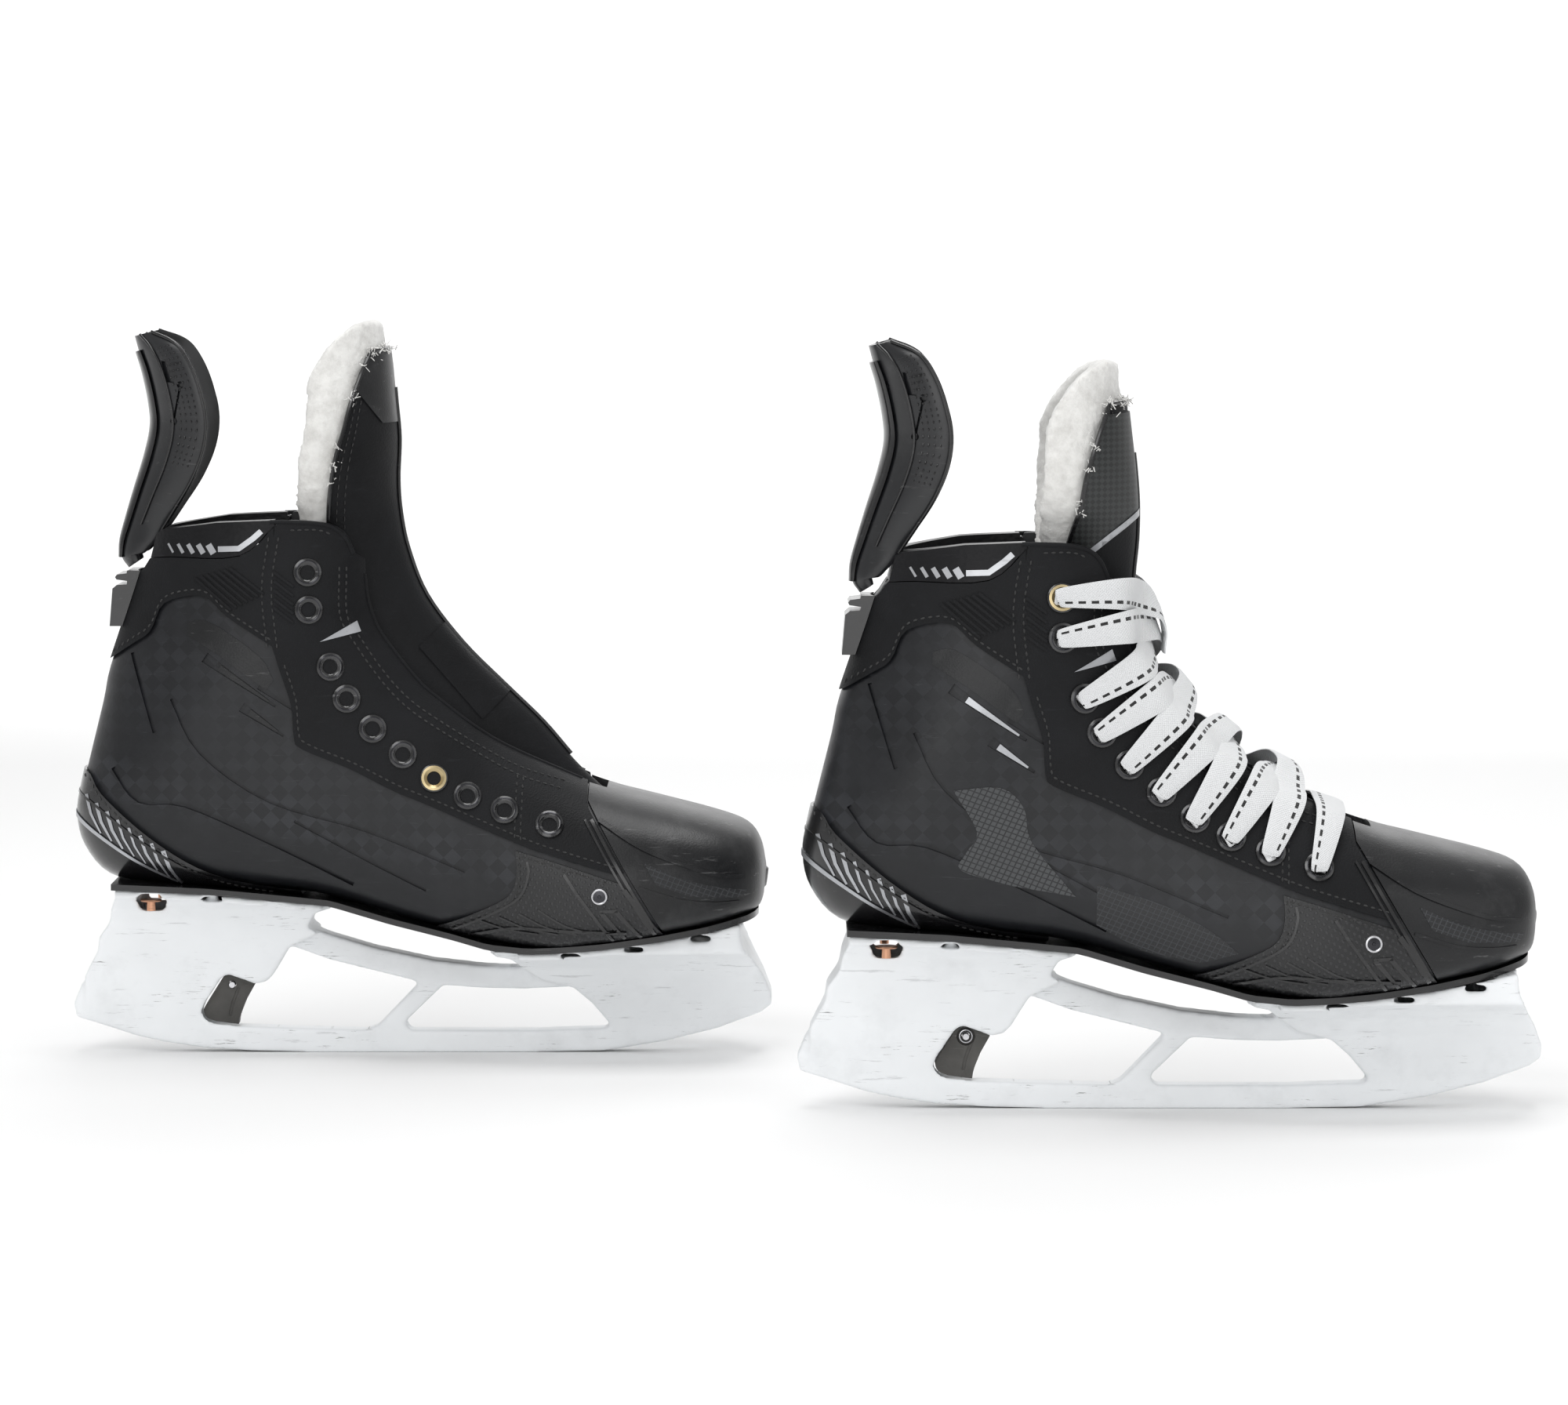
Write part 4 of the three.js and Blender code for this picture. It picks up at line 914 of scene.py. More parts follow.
def label():
    """Textured dark label with a fine diamond pattern."""
    m = Finish("diamond_label", (0.03, 0.03, 0.033), 0.45)
    check = m.diamonds(60)
    m.paint(m.mix(check, (0.0095, 0.0105, 0.0105), (0.026, 0.029, 0.029)))
    m.bump(check, 0.3, 0.0003)
    return m.made


CARBON, WRAP, RUBBER = carbon(), leather("matte_leather"), gloss_rubber()
HEX = hex_mesh("hexagon_mesh", (0.009, 0.0095, 0.011), (0.03, 0.032, 0.036))
SILVER_HEX = hex_mesh("silver_mesh", (0.052, 0.055, 0.058), (0.012, 0.0125, 0.014))
FACING = leather("facing_leather", (0.0065, 0.0068, 0.0078), 0.52, 1500)
DOTS, SATIN, FELT, LINING = dotted_rubber(), satin(), felt(), lining()
PAD = leather("pad_skin", (0.008, 0.008, 0.009), 0.36, 600)
PLASTIC, WHITE, ENAMEL, THREAD = guard_plastic(), holder_white(), enamel(), thread()
STEEL = metal("brushed_steel", (0.62, 0.62, 0.64), 0.28)
SMOKED = metal("smoked_steel", (0.05, 0.05, 0.055), 0.18)
COPPER = metal("dull_copper", (0.66, 0.36, 0.23), 0.36, (0.3, 0.16, 0.1))
BRASS = metal("worn_brass", (0.58, 0.47, 0.27), 0.32, (0.3, 0.25, 0.16))
TRIM, PALE, LACE, LABEL = grey_trim(), grey_trim("pale_band", (0.5, 0.51, 0.53)), lace_white(), label()
TRIGGER_GREY = leather("trigger_grey", (0.072, 0.07, 0.066), 0.5, 900)


# ---------------------------------------------------------------- boot pieces
RUBBER_TOP = GAP + RUBBER_THICKNESS
FOREFOOT_RUBBER_TOP = GAP + FOREFOOT_RUBBER


def raised(outlines, under, height, sunk=0.1, **span):
    """Bands that stand on the boot's layer below them, sunk into it a little."""
    return layer(under - sunk, under + height, outlines, **span)


def shell_pieces():
    """The shell with its slots and grooves, their inserts, the mesh windows and the badge strip."""
    slots = [strip([(-86, 167.2), (-57.2, 147.2)], 4.4, 0.25), strip([(-71, 147), (-54, 135)], 4.2, 0.25),
             strip([(-64, 155.5), (-50, 145.6)], 2.6, 0.3)]
    grooves = [
        strip(soft([(-117, 168), (-112, 152), (-107, 136)]), 1.6),
        strip(soft([(-125, 121), (-114, 108), (-95, 106.5), (-62, 92), (-26, 74)]), 1.8),
        strip(soft([(-100, 150), (-88, 128), (-60, 108), (-20, 96), (20, 80)]), 1.2),
        strip(soft([(-50, 100), (-20, 84), (4, 72)]), 1.2),
    ]
    engraving = cut(tool(prism(slots + grooves)), ("DIFFERENCE", boot(-0.9)))
    shell = layer(-SHELL_WALL, 0, [BOOT_REGION])
    both("quarter_shell", cut(shell, ("DIFFERENCE", engraving)), CARBON,
         replaces=["quarter_shell"], slot="carbon")
    inserts = [strip([(-80, 163), (-60, 149.2)], 2.6, 0.3), strip([(-68, 144.9), (-56.5, 136.8)], 2.6, 0.3)]
    for skate, finish in (("left", SATIN), ("right", TRIM)):
        piece("slot_inserts", layer(-0.85, -0.2, inserts), skate, finish, slot="steel")
    patch = soft([(-85, 128), (-67, 129), (-58, 121), (-55, 108), (-38, 87)]) + soft(
        [(-62, 91), (-82, 97), (-80, 104), (-76, 112), (-84.5, 127)])
    piece("mesh_patch", raised([patch], 0, 0.25), "right", SILVER_HEX, slot="carbon")
    low_mesh = soft([(-30, 92), (-4, 84), (14, 74), (24, 66)]) + [(10, 62), (-12, 66), (-30, 76)]
    piece("mesh_strip", raised([low_mesh], 0, 0.2), "right", HEX, slot="carbon")
    badge = soft([(-93, 181), (-84, 181.5), (-64, 168), (-58, 158)]) + [(-61, 154), (-80, 168), (-93, 176)]
    both("badge_strip", raised([badge], 0, 0.45), SATIN, slot="satin")


def toe_pieces():
    """The toe cap with its ridges and side panels."""
    both("toe_cap", cut(boot(TOE_CAP_PROUD), ("DIFFERENCE", boot(-SHELL_WALL, True)),
         ("DIFFERENCE", OPENING), ("INTERSECT", tool(prism([TOE_REGION])))), SATIN,
         replaces=["toe_cap"], slot="satin")
    ridge = strip(soft([(74.5, 101), (92, 90), (112, 82), (124, 78.6), (134, 77.4)]), 1.6)
    low = strip(soft([(91, 74), (108, 68.5), (122, 67), (132, 67.2)]), 1.2)
    both("toe_ridges", raised([ridge, low], TOE_CAP_PROUD, 0.55, opened=False, inside_boot=False), SATIN,
         slot="satin")
    side_panel = soft([(93, 84), (108, 77.5), (124, 73.5), (135, 72)]) + [(133, 69), (112, 70), (98, 75)]
    both("toe_side_panels", raised([side_panel], TOE_CAP_PROUD, 0.2, opened=False, inside_boot=False),
         HEX, slot="satin")


def wrap_pieces():
    """What lies on the shell: ankle and heel wraps, facings, forefoot wraps and their trims."""
    ankle = QUARTER_TOP + [(-57.3, 240), (-160, 240)]
    seam = FACING_SEAM + [(-40, 171), (-40, 236)]
    wrap = cut(layer(GAP, FACING_TOP, [ankle]), ("DIFFERENCE", tool(prism([seam]))))
    both("ankle_wrap", wrap, WRAP, replaces=["ankle_wrap"], slot="wrap")
    ribs = [strip([(-90 + 2.4 * k, 199.4 + 0.7 * k), (-75 + 2.2 * k, 186.6 + 1.1 * k)], 1.2, 0.8)
            for k in range(7)]
    ribs += [strip([(-57.6, 202 - 3.6 * k), (-49.5, 196 - 3.6 * k)], 1.2, 0.8) for k in range(5)]
    both("collar_ribs", raised(ribs, FACING_TOP, 0.75, 0.15), FACING, slot="wrap")
    heel = HEEL_TOP + sole_line(BOTTOM, -150, -48)[::-1] + [(-160, 74)]
    both("heel_wrap", layer(GAP, RUBBER_TOP, [heel], inside_boot=False), RUBBER,
         replaces=["heel_wrap"], slot="rubber")
    ridge = strip(soft([(-146, 102.5), (-139, 97.6), (-128, 90.4), (-114, 81.6), (-99, 73.6)]), 2.0, 0.4)
    slashes = []
    for k in range(8):
        x = -137 + 4.7 * k
        start, end = (x, 106.5 - 0.665 * (x + 132.8)), (x + 6.5, 101.6 - 0.64 * (x + 149.3))
        slashes.append(strip([start, ((start[0] * 2 + end[0]) / 3, (start[1] + end[1]) / 2), end],
                             random.uniform(1.1, 2.2), 0.45))
    both("heel_slashes", raised(slashes, RUBBER_TOP, 0.3, inside_boot=False), TRIM, slot="steel")
    edge = strip(soft([(-143, 110.5), (-132, 104.6), (-112, 90), (-92, 78), (-70, 73.2)]), 1.0)
    both("heel_edge", raised([edge], RUBBER_TOP, 0.5, inside_boot=False), RUBBER, slot="rubber")
    both("heel_ridge", raised([ridge], RUBBER_TOP, 0.6, inside_boot=False), TRIM, slot="steel")
    band = FACING_SEAM + FACING_LOWER[1:] + [(85, 80.3), (70.3, 104.6), (69.3, 108), (69.3, 235)]
    both("facings", layer(GAP, FACING_TOP, [band]), FACING,
         replaces=["facing_inner", "facing_outer"], slot="wrap")
    tabs = [[(-39, 173.5), (-24.2, 181.8), (-22.6, 177.4)]]
    both("facing_tabs", raised(tabs, FACING_TOP, 0.4, 0.15), TRIM, slot="steel")
    fore = FOREFOOT_TOP + sole_line(BOTTOM, 8, 101)[::-1]
    both("forefoot_wraps", layer(GAP, FOREFOOT_RUBBER_TOP, [fore], opened=False), DOTS,
         replaces=["forefoot_wrap_inner", "forefoot_wrap_outer"], slot="rubber")
    bars = [
        strip([(75.6, 64), (85.4, 52.6)], 1.9, 0.7), strip([(81.5, 64.6), (92, 52.8)], 1.9, 0.7),
        strip([(85, 73), (90, 66.5), (97.5, 54)], 2.2, 0.7),
        strip([(60.5, 79.5), (66, 71), (80.5, 51.6)], 1.3),
        strip([(75, 64.2), (82.5, 64.6)], 1.3),
        *[strip(soft([(26 + 8 * k, 60 + 1.6 * k), (37 + 8 * k, 56.5 + 0.6 * k), (50 + 8 * k, 54.6)]), 0.7)
          for k in range(4)],
    ]
    edge = strip(soft([(14, 55.5), (29, 62), (42, 69.5), (46, 79), (45.5, 84.5)]), 1.0)
    lower = strip(soft([(22, 53.5), (40, 57), (62, 56), (86, 55)]), 1.2)
    both("forefoot_ribs", raised([*bars, edge, lower], FOREFOOT_RUBBER_TOP, 0.6, opened=False), RUBBER,
         slot="rubber")
    seam = [strip(shifted(TOE_EDGE[2:-2], -2.0), 1.3), strip(shifted(TOE_EDGE[2:-2], -4.6), 0.9)]
    both("toe_seam", raised(seam, FACING_TOP, 0.55), RUBBER, slot="rubber")


def inside_pieces():
    """The liner, and the outsole cut to the boot's plan."""
    low = sole_line(BOTTOM + SHELL_WALL + GAP + 4 + GAP, -149, 22)[::-1]
    region = low + [(-149, 194)] + TOP_EDGE[1:-2] + [(-22, 160), (22, 120)]
    padding = cut(boot(-LINER_INSET), ("DIFFERENCE", boot(-LINER_CORE, True)),
                  ("DIFFERENCE", throat(17)), ("INTERSECT", tool(prism([region]))))
    for made in both("liner", padding, LINING, replaces=["liner"], slot="lining"):
        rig.padded(made, 0.9)
    plan = through([(low[0], half, lean) for low, _, half, _, _, _, lean in SECTIONS[1:13]], 4)
    narrower, shorter = 0.86, 0.986
    rim = [(x * shorter, lean + half * narrower) for x, half, lean in plan]
    rim += [(x * shorter, lean - half * narrower) for x, half, lean in plan[::-1]]
    column = drawn_out([[(x, y, 30) for x, y in rim]], (0, 0, 60))
    band = sole_line(0, -145, 150) + sole_line(OUTSOLE_THICKNESS, -145, 150)[::-1]
    both("outsole", cut(tool(prism([band])), ("INTERSECT", tool(column))), RUBBER,
         replaces=["outsole"], slot="rubber")


PAD_REGION = soft([(-109.6, 206.8), (-99.7, 207.8), (-71.6, 208.7), (-57.2, 221)]) + soft(
    [(-57.6, 223), (-80.6, 222), (-87, 221.2), (-97.6, 221.8), (-104, 218.6), (-107, 216.5)])


def pad_pieces():
    """The padded collar with its pale bars."""
    for name, sign in SIDES.items():
        span = (-REACH, -GAP / 2) if sign < 0 else (GAP / 2, REACH)
        pad = cut(boot(FACING_TOP), ("DIFFERENCE", boot(-LINER_CORE, True)),
                  ("INTERSECT", tool(prism([PAD_REGION], *span))))
        for made in both("collar_pad_" + name, pad, PAD, replaces=["collar_pad_" + name], slot="pad"):
            edged(made, 1.4, 3, 50)
            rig.padded(made, 0.85)
    join = strip([(-60.2, 212), (-57.6, 221.6)], 3)
    both("collar_join", layer(-LINER_CORE + 0.4, 0.4, [join], inside_boot=False, opened=False), PAD,
         slot="pad")
    bars = [strip([(-101.6 + 4.3 * k, 213), (-99.4 + 4.3 * k, 209.4)], 0.9 + 0.45 * k) for k in range(5)]
    trim = [strip([(-80.4, 211.2), (-71.8, 211.5), (-66, 215.6), (-62.6, 218.6)], 2.3)]
    both("pad_bars", raised(bars + trim, FACING_TOP, 0.2, 0.3, inside_boot=False, opened=False), PALE,
         slot="steel")


# ---------------------------------------------------------------- stitches, eyelets, screws
def evenly(line, step):
    """Points along an open line at even steps, each with its heading."""
    line = [Vector(p) for p in line]
    spots, left = [], 0.0
    for a, b in zip(line, line[1:]):
        length = (b - a).length
        while left < length:
            spots.append((a.lerp(b, left / length), (b - a).normalized()))
            left += step
        left -= length
    return spots


def stitch_row(line, sign, grow, step=2.9, length=2.1, width=0.9):
    """Small stitches along a side view line, laid on the grown boot."""
    made = []
    for at, go in evenly(line, step):
        try:
            point, normal = surface(at.x, at.y, sign, grow)
        except ValueError:
            continue
        ahead = Vector((go.x, 0, go.y))
        ahead = (ahead - normal * ahead.dot(normal)).normalized()
        bm = bmesh.new()
        bmesh.ops.create_icosphere(bm, subdivisions=1, radius=0.5)
        bmesh.ops.scale(bm, verts=bm.verts, vec=(length, width, width * 0.9))
        across = normal.cross(ahead)
        turn = Vector((0, 0, 0)).to_track_quat("X", "Z").to_matrix()
        turn.col[0], turn.col[1], turn.col[2] = ahead, across, normal
        bmesh.ops.rotate(bm, verts=bm.verts, cent=(0, 0, 0), matrix=turn)
        bmesh.ops.translate(bm, verts=bm.verts, vec=point + normal * 0.05)
        made.append(bm)
    return made


def stitching():
    """All rows of stitches on a boot, as one piece."""
    front = soft([(-28.4, 203), (-28.2, 184), (-22.5, 174), (-13, 160.2), (-2.6, 149), (10, 140), (26, 130),
                  (43, 121.2), (62, 115.2)])
    inner = soft([(-31.2, 203), (-31, 184), (-25, 172.4), (-15, 158), (-4.6, 146.8), (8.6, 137.4),
                  (25, 127.4), (42, 118.4), (60, 112.6)])
    lower = shifted(FACING_LOWER[4:], 2.0, 2.3)
    seam = [(x, z) for x, z in FACING_SEAM if z < 219.5]
    rows = [(front, FACING_TOP), (inner, FACING_TOP), (lower, FACING_TOP),
            (soft([(-50, 219), (-40, 219), (-34, 217)]), FACING_TOP),
            (shifted(seam, 2.0), FACING_TOP), (shifted(seam, -2.0), FACING_TOP),
            (shifted(QUARTER_TOP[2:], 0, 2.4), FACING_TOP),
            (soft([(41, 118), (40.6, 106), (40.4, 94.6)]), FACING_TOP),
            (soft([(43.4, 117), (43, 105), (42.8, 93.6)]), FACING_TOP),
            (shifted(FOREFOOT_TOP[1:-1], 1.4, -2.0), FOREFOOT_RUBBER_TOP),
            (shifted(TOE_EDGE[1:-2], -2.4), GAP), (shifted(HEEL_TOP[4:-2], 0, -2.2), RUBBER_TOP)]
    made = [bm for sign in (-1, 1) for line, grow in rows for bm in stitch_row(line, sign, grow)]
    both("stitching", tool(gathered(made)), THREAD, slot="wrap")


def edge_rolls():
    """Rolled edges along the facings' front edges and round their tops."""
    rolls = []
    rows = through(THROAT, 6)
    for sign in (-1, 1):
        line = []
        for i, (x, z, share) in enumerate(rows[4:], 4):
            if z > 205:
                break
            go = Vector((rows[i + 1][0] - rows[i - 1][0], rows[i + 1][1] - rows[i - 1][1])).normalized()
            up = Vector((go.y, 0, -go.x))
            start = Vector((x, sign * (THROAT_HALF_GAP * share + 0.5), z)) + up * 30
            at, _, _, _ = skin_tree(FACING_TOP).ray_cast(start, -up)
            if at is not None:
                line.append(at - up * 0.25)
        rolls.append(tube(line, 0.85))
        top = soft([(-59, 222.3), (-56.5, 222.3), (-53.4, 222.3), (-40.2, 221.5), (-33.2, 219.4),
                    (-28.8, 215.3), (-26, 209)])
        rolls.append(tube([surface(x, z, sign)[0] - Vector((0, sign * 0.3, 0)) for x, z in top], 0.9))
    both("edge_rolls", tool(gathered(rolls)), WRAP, slot="wrap")


def frayed(line, clumps, skate, body, name):
    """Loose clumps of thin felt fibres that stand out along a line of points."""
    tufts = []
    for _ in range(clumps):
        middle = Vector(random.choice(line))
        spread = random.uniform(0.5, 1.5)
        for _ in range(random.randint(5, 16)):
            at = middle + Vector([random.gauss(0, spread) for _ in range(3)])
            lean = Vector([random.uniform(-1, 1) for _ in range(3)]).normalized()
            bend = Vector([random.uniform(-1, 1) for _ in range(3)]) * 0.8
            length = random.uniform(0.9, 2.6)
            fibre = [at, at + lean * length * 0.5 + bend * 0.4, at + lean * length + bend]
            tufts.append(tube(fibre, random.uniform(0.12, 0.26), 4))
    piece(name, gathered(tufts), skate, FELT, body, slot="felt", sharp=180)


def eyelet_pieces():
    """Eyelets with their rings, the side screws and the copper rivets under the heel."""
    rim, bore = 5.9, 2.9
    ring = [(bore, -4.6), (bore + 0.8, -4.6), (bore + 0.8, 0.2), (rim - 0.5, 0.35), (rim, 0.55),
            (rim - 0.2, 0.95), (rim - 1.1, 1.35), (bore + 1.7, 1.4), (bore + 0.75, 1.1), (bore, 0.3)]
    liner = [(bore + 1.5, 1.2), (bore + 2.0, 1.2), (bore + 2.05, 1.5), (bore + 1.75, 1.62),
             (bore + 1.45, 1.5)]
    worn = [(bore - 0.04, -2), (bore + 0.2, -2), (bore + 1.0, 1.28), (bore + 2.2, 1.5),
            (bore + 1.2, 1.66), (bore - 0.04, 0.6)]

    def band(profile, at, normal):
        return stand(lathe(profile, 28, ring=True), at, normal)

    for name, sign in SIDES.items():
        spots = [surface(x, z, sign) for x, z in EYELETS]
        source = tool(gathered([band(ring, *spot) for spot in spots]))
        both("eyelets_" + name, source, ENAMEL, replaces=["eyelets_" + name], slot="enamel")
        for skate in ("left", "right"):
            brass = {("left", "inner"): 6, ("right", "outer"): 0}.get((skate, name))
            plain = [band(liner, *spot) for i, spot in enumerate(spots) if i != brass]
            piece("eyelet_rings_" + name, gathered(plain), skate, SMOKED, slot="steel")
            if brass is not None:
                piece("brass_ring_" + name, band(worn, *spots[brass]), skate, BRASS, slot="copper")
        point, normal = surface(75, 70.5, sign, FOREFOOT_RUBBER_TOP)
        head = [(0, -0.1), (3.5, -0.1), (3.5, 0.7), (3.2, 1.2), (2.8, 1.3), (2.5, 1.1), (2.4, 0.4), (0, 0.4)]
        middle = [(0, 0.3), (2.45, 0.3), (2.4, 0.7), (0.7, 0.8), (0.5, 0.6), (0, 0.6)]
        both("flex_screw_middle_" + name, stand_tool(middle, point, normal), SMOKED, slot="steel")
        both("flex_screw_" + name, stand_tool(head, point, normal), STEEL,
             replaces=["flex_screw_" + name], slot="steel")
        rivet = [(0, 0), (1.8, 0), (1.8, 3.7), (4.1, 3.9), (4.5, 4.3), (4.2, 4.8), (0, 4.95)]
        both("rivet_" + name, stand_tool(rivet, (-110.4, sign * 22, 61.4), (0, 0, 1)), COPPER,
             replaces=["rivet_" + name], slot="copper")


def stand_tool(profile, at, normal):
    """A turned piece that stands at a point, as a temporary object."""
    return tool(stand(lathe(profile, 28), at, normal))


# ---------------------------------------------------------------- tongues and guards
def channel(rows, inset, thickness, facing, steps, rows_between=5):
    """Rings of a thin channel over stations: middle of its closed side, depth, half width, share."""
    cover = 0.94  # of a half turn, where the share is 1
    rows = through([[*p, *rest] if len(rest) == 3 else [*p, *rest, 1.0] for p, *rest in rows], rows_between)
    rings = []
    for i, (x, z, depth, half, share) in enumerate(rows):
        before, after = rows[max(i - 1, 0)], rows[min(i + 1, len(rows) - 1)]
        go = Vector((after[0] - before[0], after[1] - before[1])).normalized()
        inwards = Vector((-go.y, go.x)) * facing
        fit = min(1, 0.75 * min(depth, half) / max(inset + thickness, 0.1))
        outer, inner = [], []
        for k in range(steps + 1):
            u = 2 * k / steps - 1
            phi = u * max(share, 0.02) * cover * math.pi / 2
            nx, ny = math.cos(phi) * half, math.sin(phi) * depth
            scale = math.hypot(nx, ny)
            edge = abs(u) ** 12
            for ring, deep in ((outer, fit * (inset + thickness * 0.42 * edge)),
                               (inner, fit * (inset + thickness * (1 - 0.42 * edge - 0.2 * abs(u) ** 5)))):
                d = depth * (1 - math.cos(phi)) + nx * deep / scale
                at = Vector((x, z)) + inwards * d
                ring.append((at.x, half * math.sin(phi) - ny * deep / scale, at.y))
        rings.append(outer + inner[::-1])
    return rings


TONGUES = {
    "left": [
        ((75.9, 109.6), 9, 10, 0.9), ((64, 121), 23, 13.2, 0.9), ((50.3, 137), 36, 16.8, 0.9),
        ((35, 152), 42, 20, 0.9), ((17, 170), 45, 22, 0.9), ((2, 190), 46, 23.2, 0.88),
        ((-5.5, 209), 46, 23.6, 0.84), ((-8.6, 224), 45, 27, 0.8), ((-9.6, 238), 44, 34, 0.76),
        ((-9, 255), 42, 38, 0.72), ((-10.2, 270), 38, 38.5, 0.66), ((-11.4, 284), 31, 35, 0.58),
        ((-12.4, 292), 25, 30, 0.5), ((-13.4, 299), 17, 23, 0),
    ],
    "right": [
        ((75.7, 108), 9, 10, 0.9), ((60, 112.4), 20, 12, 0.9), ((46, 120), 26, 14.5, 0.9),
        ((27, 132), 29, 16.5, 0.9), ((9, 148), 31, 18, 0.9), ((-5, 166), 33, 19, 0.9),
        ((-13, 184), 38, 19.5, 0.88), ((-15, 204), 42, 20, 0.84), ((-13.6, 222), 43, 25, 0.8),
        ((-13.4, 236), 43, 33, 0.74), ((-14.4, 250), 41, 38, 0.7), ((-16, 264), 36, 38, 0.62),
        ((-17.4, 276), 29, 33, 0.52), ((-19, 286), 19, 24, 0),
    ],
}
TONGUE_FACE, TONGUE_FELT = 1.8, 9


def fuzz(bm, amount, scale):
    """Pushes a surface in and out with noise; a larger scale gives finer noise."""
    for v in bm.verts:
        rough = noise.fractal(v.co * scale, 1.0, 2.0, 4)
        v.co += v.normal * rough * amount


FELT_TOPS = {
    "left": [((-10.8, 278), 37, 38), ((-12, 290), 36, 37), ((-13.6, 312), 35, 36)],
    "right": [((-16.4, 266), 38, 38), ((-17.8, 278), 36, 37), ((-19.4, 300), 35, 36)],
}
FELT_SHIFT = {"left": (0, 0), "right": (-5.6, -12)}
FELT_DOME = soft([(-52, 248), (-46.6, 272), (-40.4, 286), (-33, 296), (-26, 301.6), (-19.3, 303.4),
                  (-14.1, 300.8), (-11, 293)])
FELT_OUTLINE = [(-120, 60), (-120, 246), *FELT_DOME, (-4, 280), (60, 220), (120, 190), (120, 60)]
LABEL_OUTLINE = [(-62, 216), (-60, 240), (-44, 262), (-31, 271), (-14, 272), (0, 262), (0, 240),
                 (-13, 232.5), (-24, 224), (-33, 216)]
TONGUE_STEPS = 40  # points across a tongue's face, from one edge to the other
FELT_STEPS = 44
FELT_CELL = 1.3


def felt_lining(stations, top, shift):
    """The thick felt inside a tongue, rounded off over its top."""
    rows = [row[:3] for row in stations if row[0][1] < top[0][0][1] - 5] + top
    felt = tool(lofted(channel(rows, TONGUE_FACE + 0.3, TONGUE_FELT + 0.7, 1, FELT_STEPS, rows_between=6)))
    felt = cut(felt, ("INTERSECT", tool(prism([shifted(FELT_OUTLINE, *shift)]))))
    bm = bmesh.new()
    bm.from_mesh(remeshed(felt, FELT_CELL, 8).data)
    bm.normal_update()
    fuzz(bm, 0.45, 0.12)
    fuzz(bm, 0.4, 1.1)
    return bm


def on_tongue(rows, proud, outline):
    """A thin layer on a tongue's face that a side view outline marks off."""
    layer_on_face = tool(lofted(channel(rows, -proud, proud - 0.1, 1, TONGUE_STEPS)))
    return cut(layer_on_face, ("INTERSECT", tool(prism([outline]))))


def edge_lines(rows, inset, thickness, facing, steps, **spacing):
    """The two side edges of a thin channel, as lines of points."""
    rings = channel(rows, inset, thickness, facing, steps, **spacing)
    return [[Vector(ring[end]) for ring in rings] for end in (0, steps)]


def at_share(rows, share):
    """Stations that all go the same share of the way round."""
    return [(p, depth, half, share) for p, depth, half, *_ in rows]


def tongue_patches(skate, rows, body):
    """The right tongue's label with its band, or the left tongue's two plain patches."""
    if skate == "right":
        label_band = strip([(-37, 214.5), (-24, 224.5), (-8, 236)], 2.2)
        patches = [("tongue_label", 0.75, LABEL_OUTLINE, LABEL, "satin"),
                   ("label_trim", 1.1, label_band, TRIM, "steel")]
    else:
        shin = [(-30, 284), (-14, 262), (10, 262), (10, 300), (-30, 300)]
        instep = [(26, 140), (44, 158), (20, 188), (0, 170)]
        patches = [("tongue_patch", 0.6, shin, SATIN, "satin"), ("instep_patch", 0.6, instep, FACING, "wrap")]
    for name, proud, outline, material, slot in patches:
        piece(name, on_tongue(rows, proud, outline), skate, material, body, slot=slot, sharp=60)


def tongue_pieces():
    """Each tongue: felt, fibres, binding, piping, face, patches and seams."""
    for skate, stations in TONGUES.items():
        body = "left_tongue" if skate == "left" else "skates"
        face_rows = [row for row in stations if row[3] > 0]
        made = piece("tongue_felt", felt_lining(stations, FELT_TOPS[skate], FELT_SHIFT[skate]),
                     skate, FELT, body, ["tongue_felt"], "felt", 180)
        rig.padded(made, 0.8)
        rings = channel(face_rows, -0.3, 0.3, 1, TONGUE_STEPS)
        top = rings[-1][:TONGUE_STEPS + 1]
        edges = [[ring[end] for ring in rings] for end in (0, TONGUE_STEPS)]
        border = [p for edge in edges for p in edge if p[2] > 232] + top[::4] * 2
        frayed(border, 26, skate, body, "felt_fibres")
        bindings = [tube(line, 0.95) for line in [*edges, top]]
        piece("tongue_binding", gathered(bindings), skate, RUBBER, body, slot="wrap")
        front = [ring[TONGUE_STEPS // 2] for ring in channel(face_rows, -0.5, 0.3, 1, TONGUE_STEPS)]
        piece("tongue_piping", tube(front[6:-8], 1.0), skate, RUBBER, body, slot="wrap")
        face = lofted(channel(face_rows, 0, TONGUE_FACE, 1, TONGUE_STEPS))
        piece("tongue_face", face, skate, WRAP, body, ["tongue_face"], "wrap", 60)
        tongue_patches(skate, face_rows, body)
        seams = []
        for share in (0.93, 0.86):
            rows = [(p, depth, half, whole * share) for p, depth, half, whole in face_rows]
            for line in edge_lines(rows, -0.25, 0.3, 1, TONGUE_STEPS):
                for a, b in zip(line, line[1:]):
                    if (b - a).length > 1e-3:
                        seams.append(dash((a + b) / 2, b - a, 0.6, (b - a).length * 0.7))
        piece("tongue_seams", gathered(seams), skate, THREAD, body, slot="wrap")


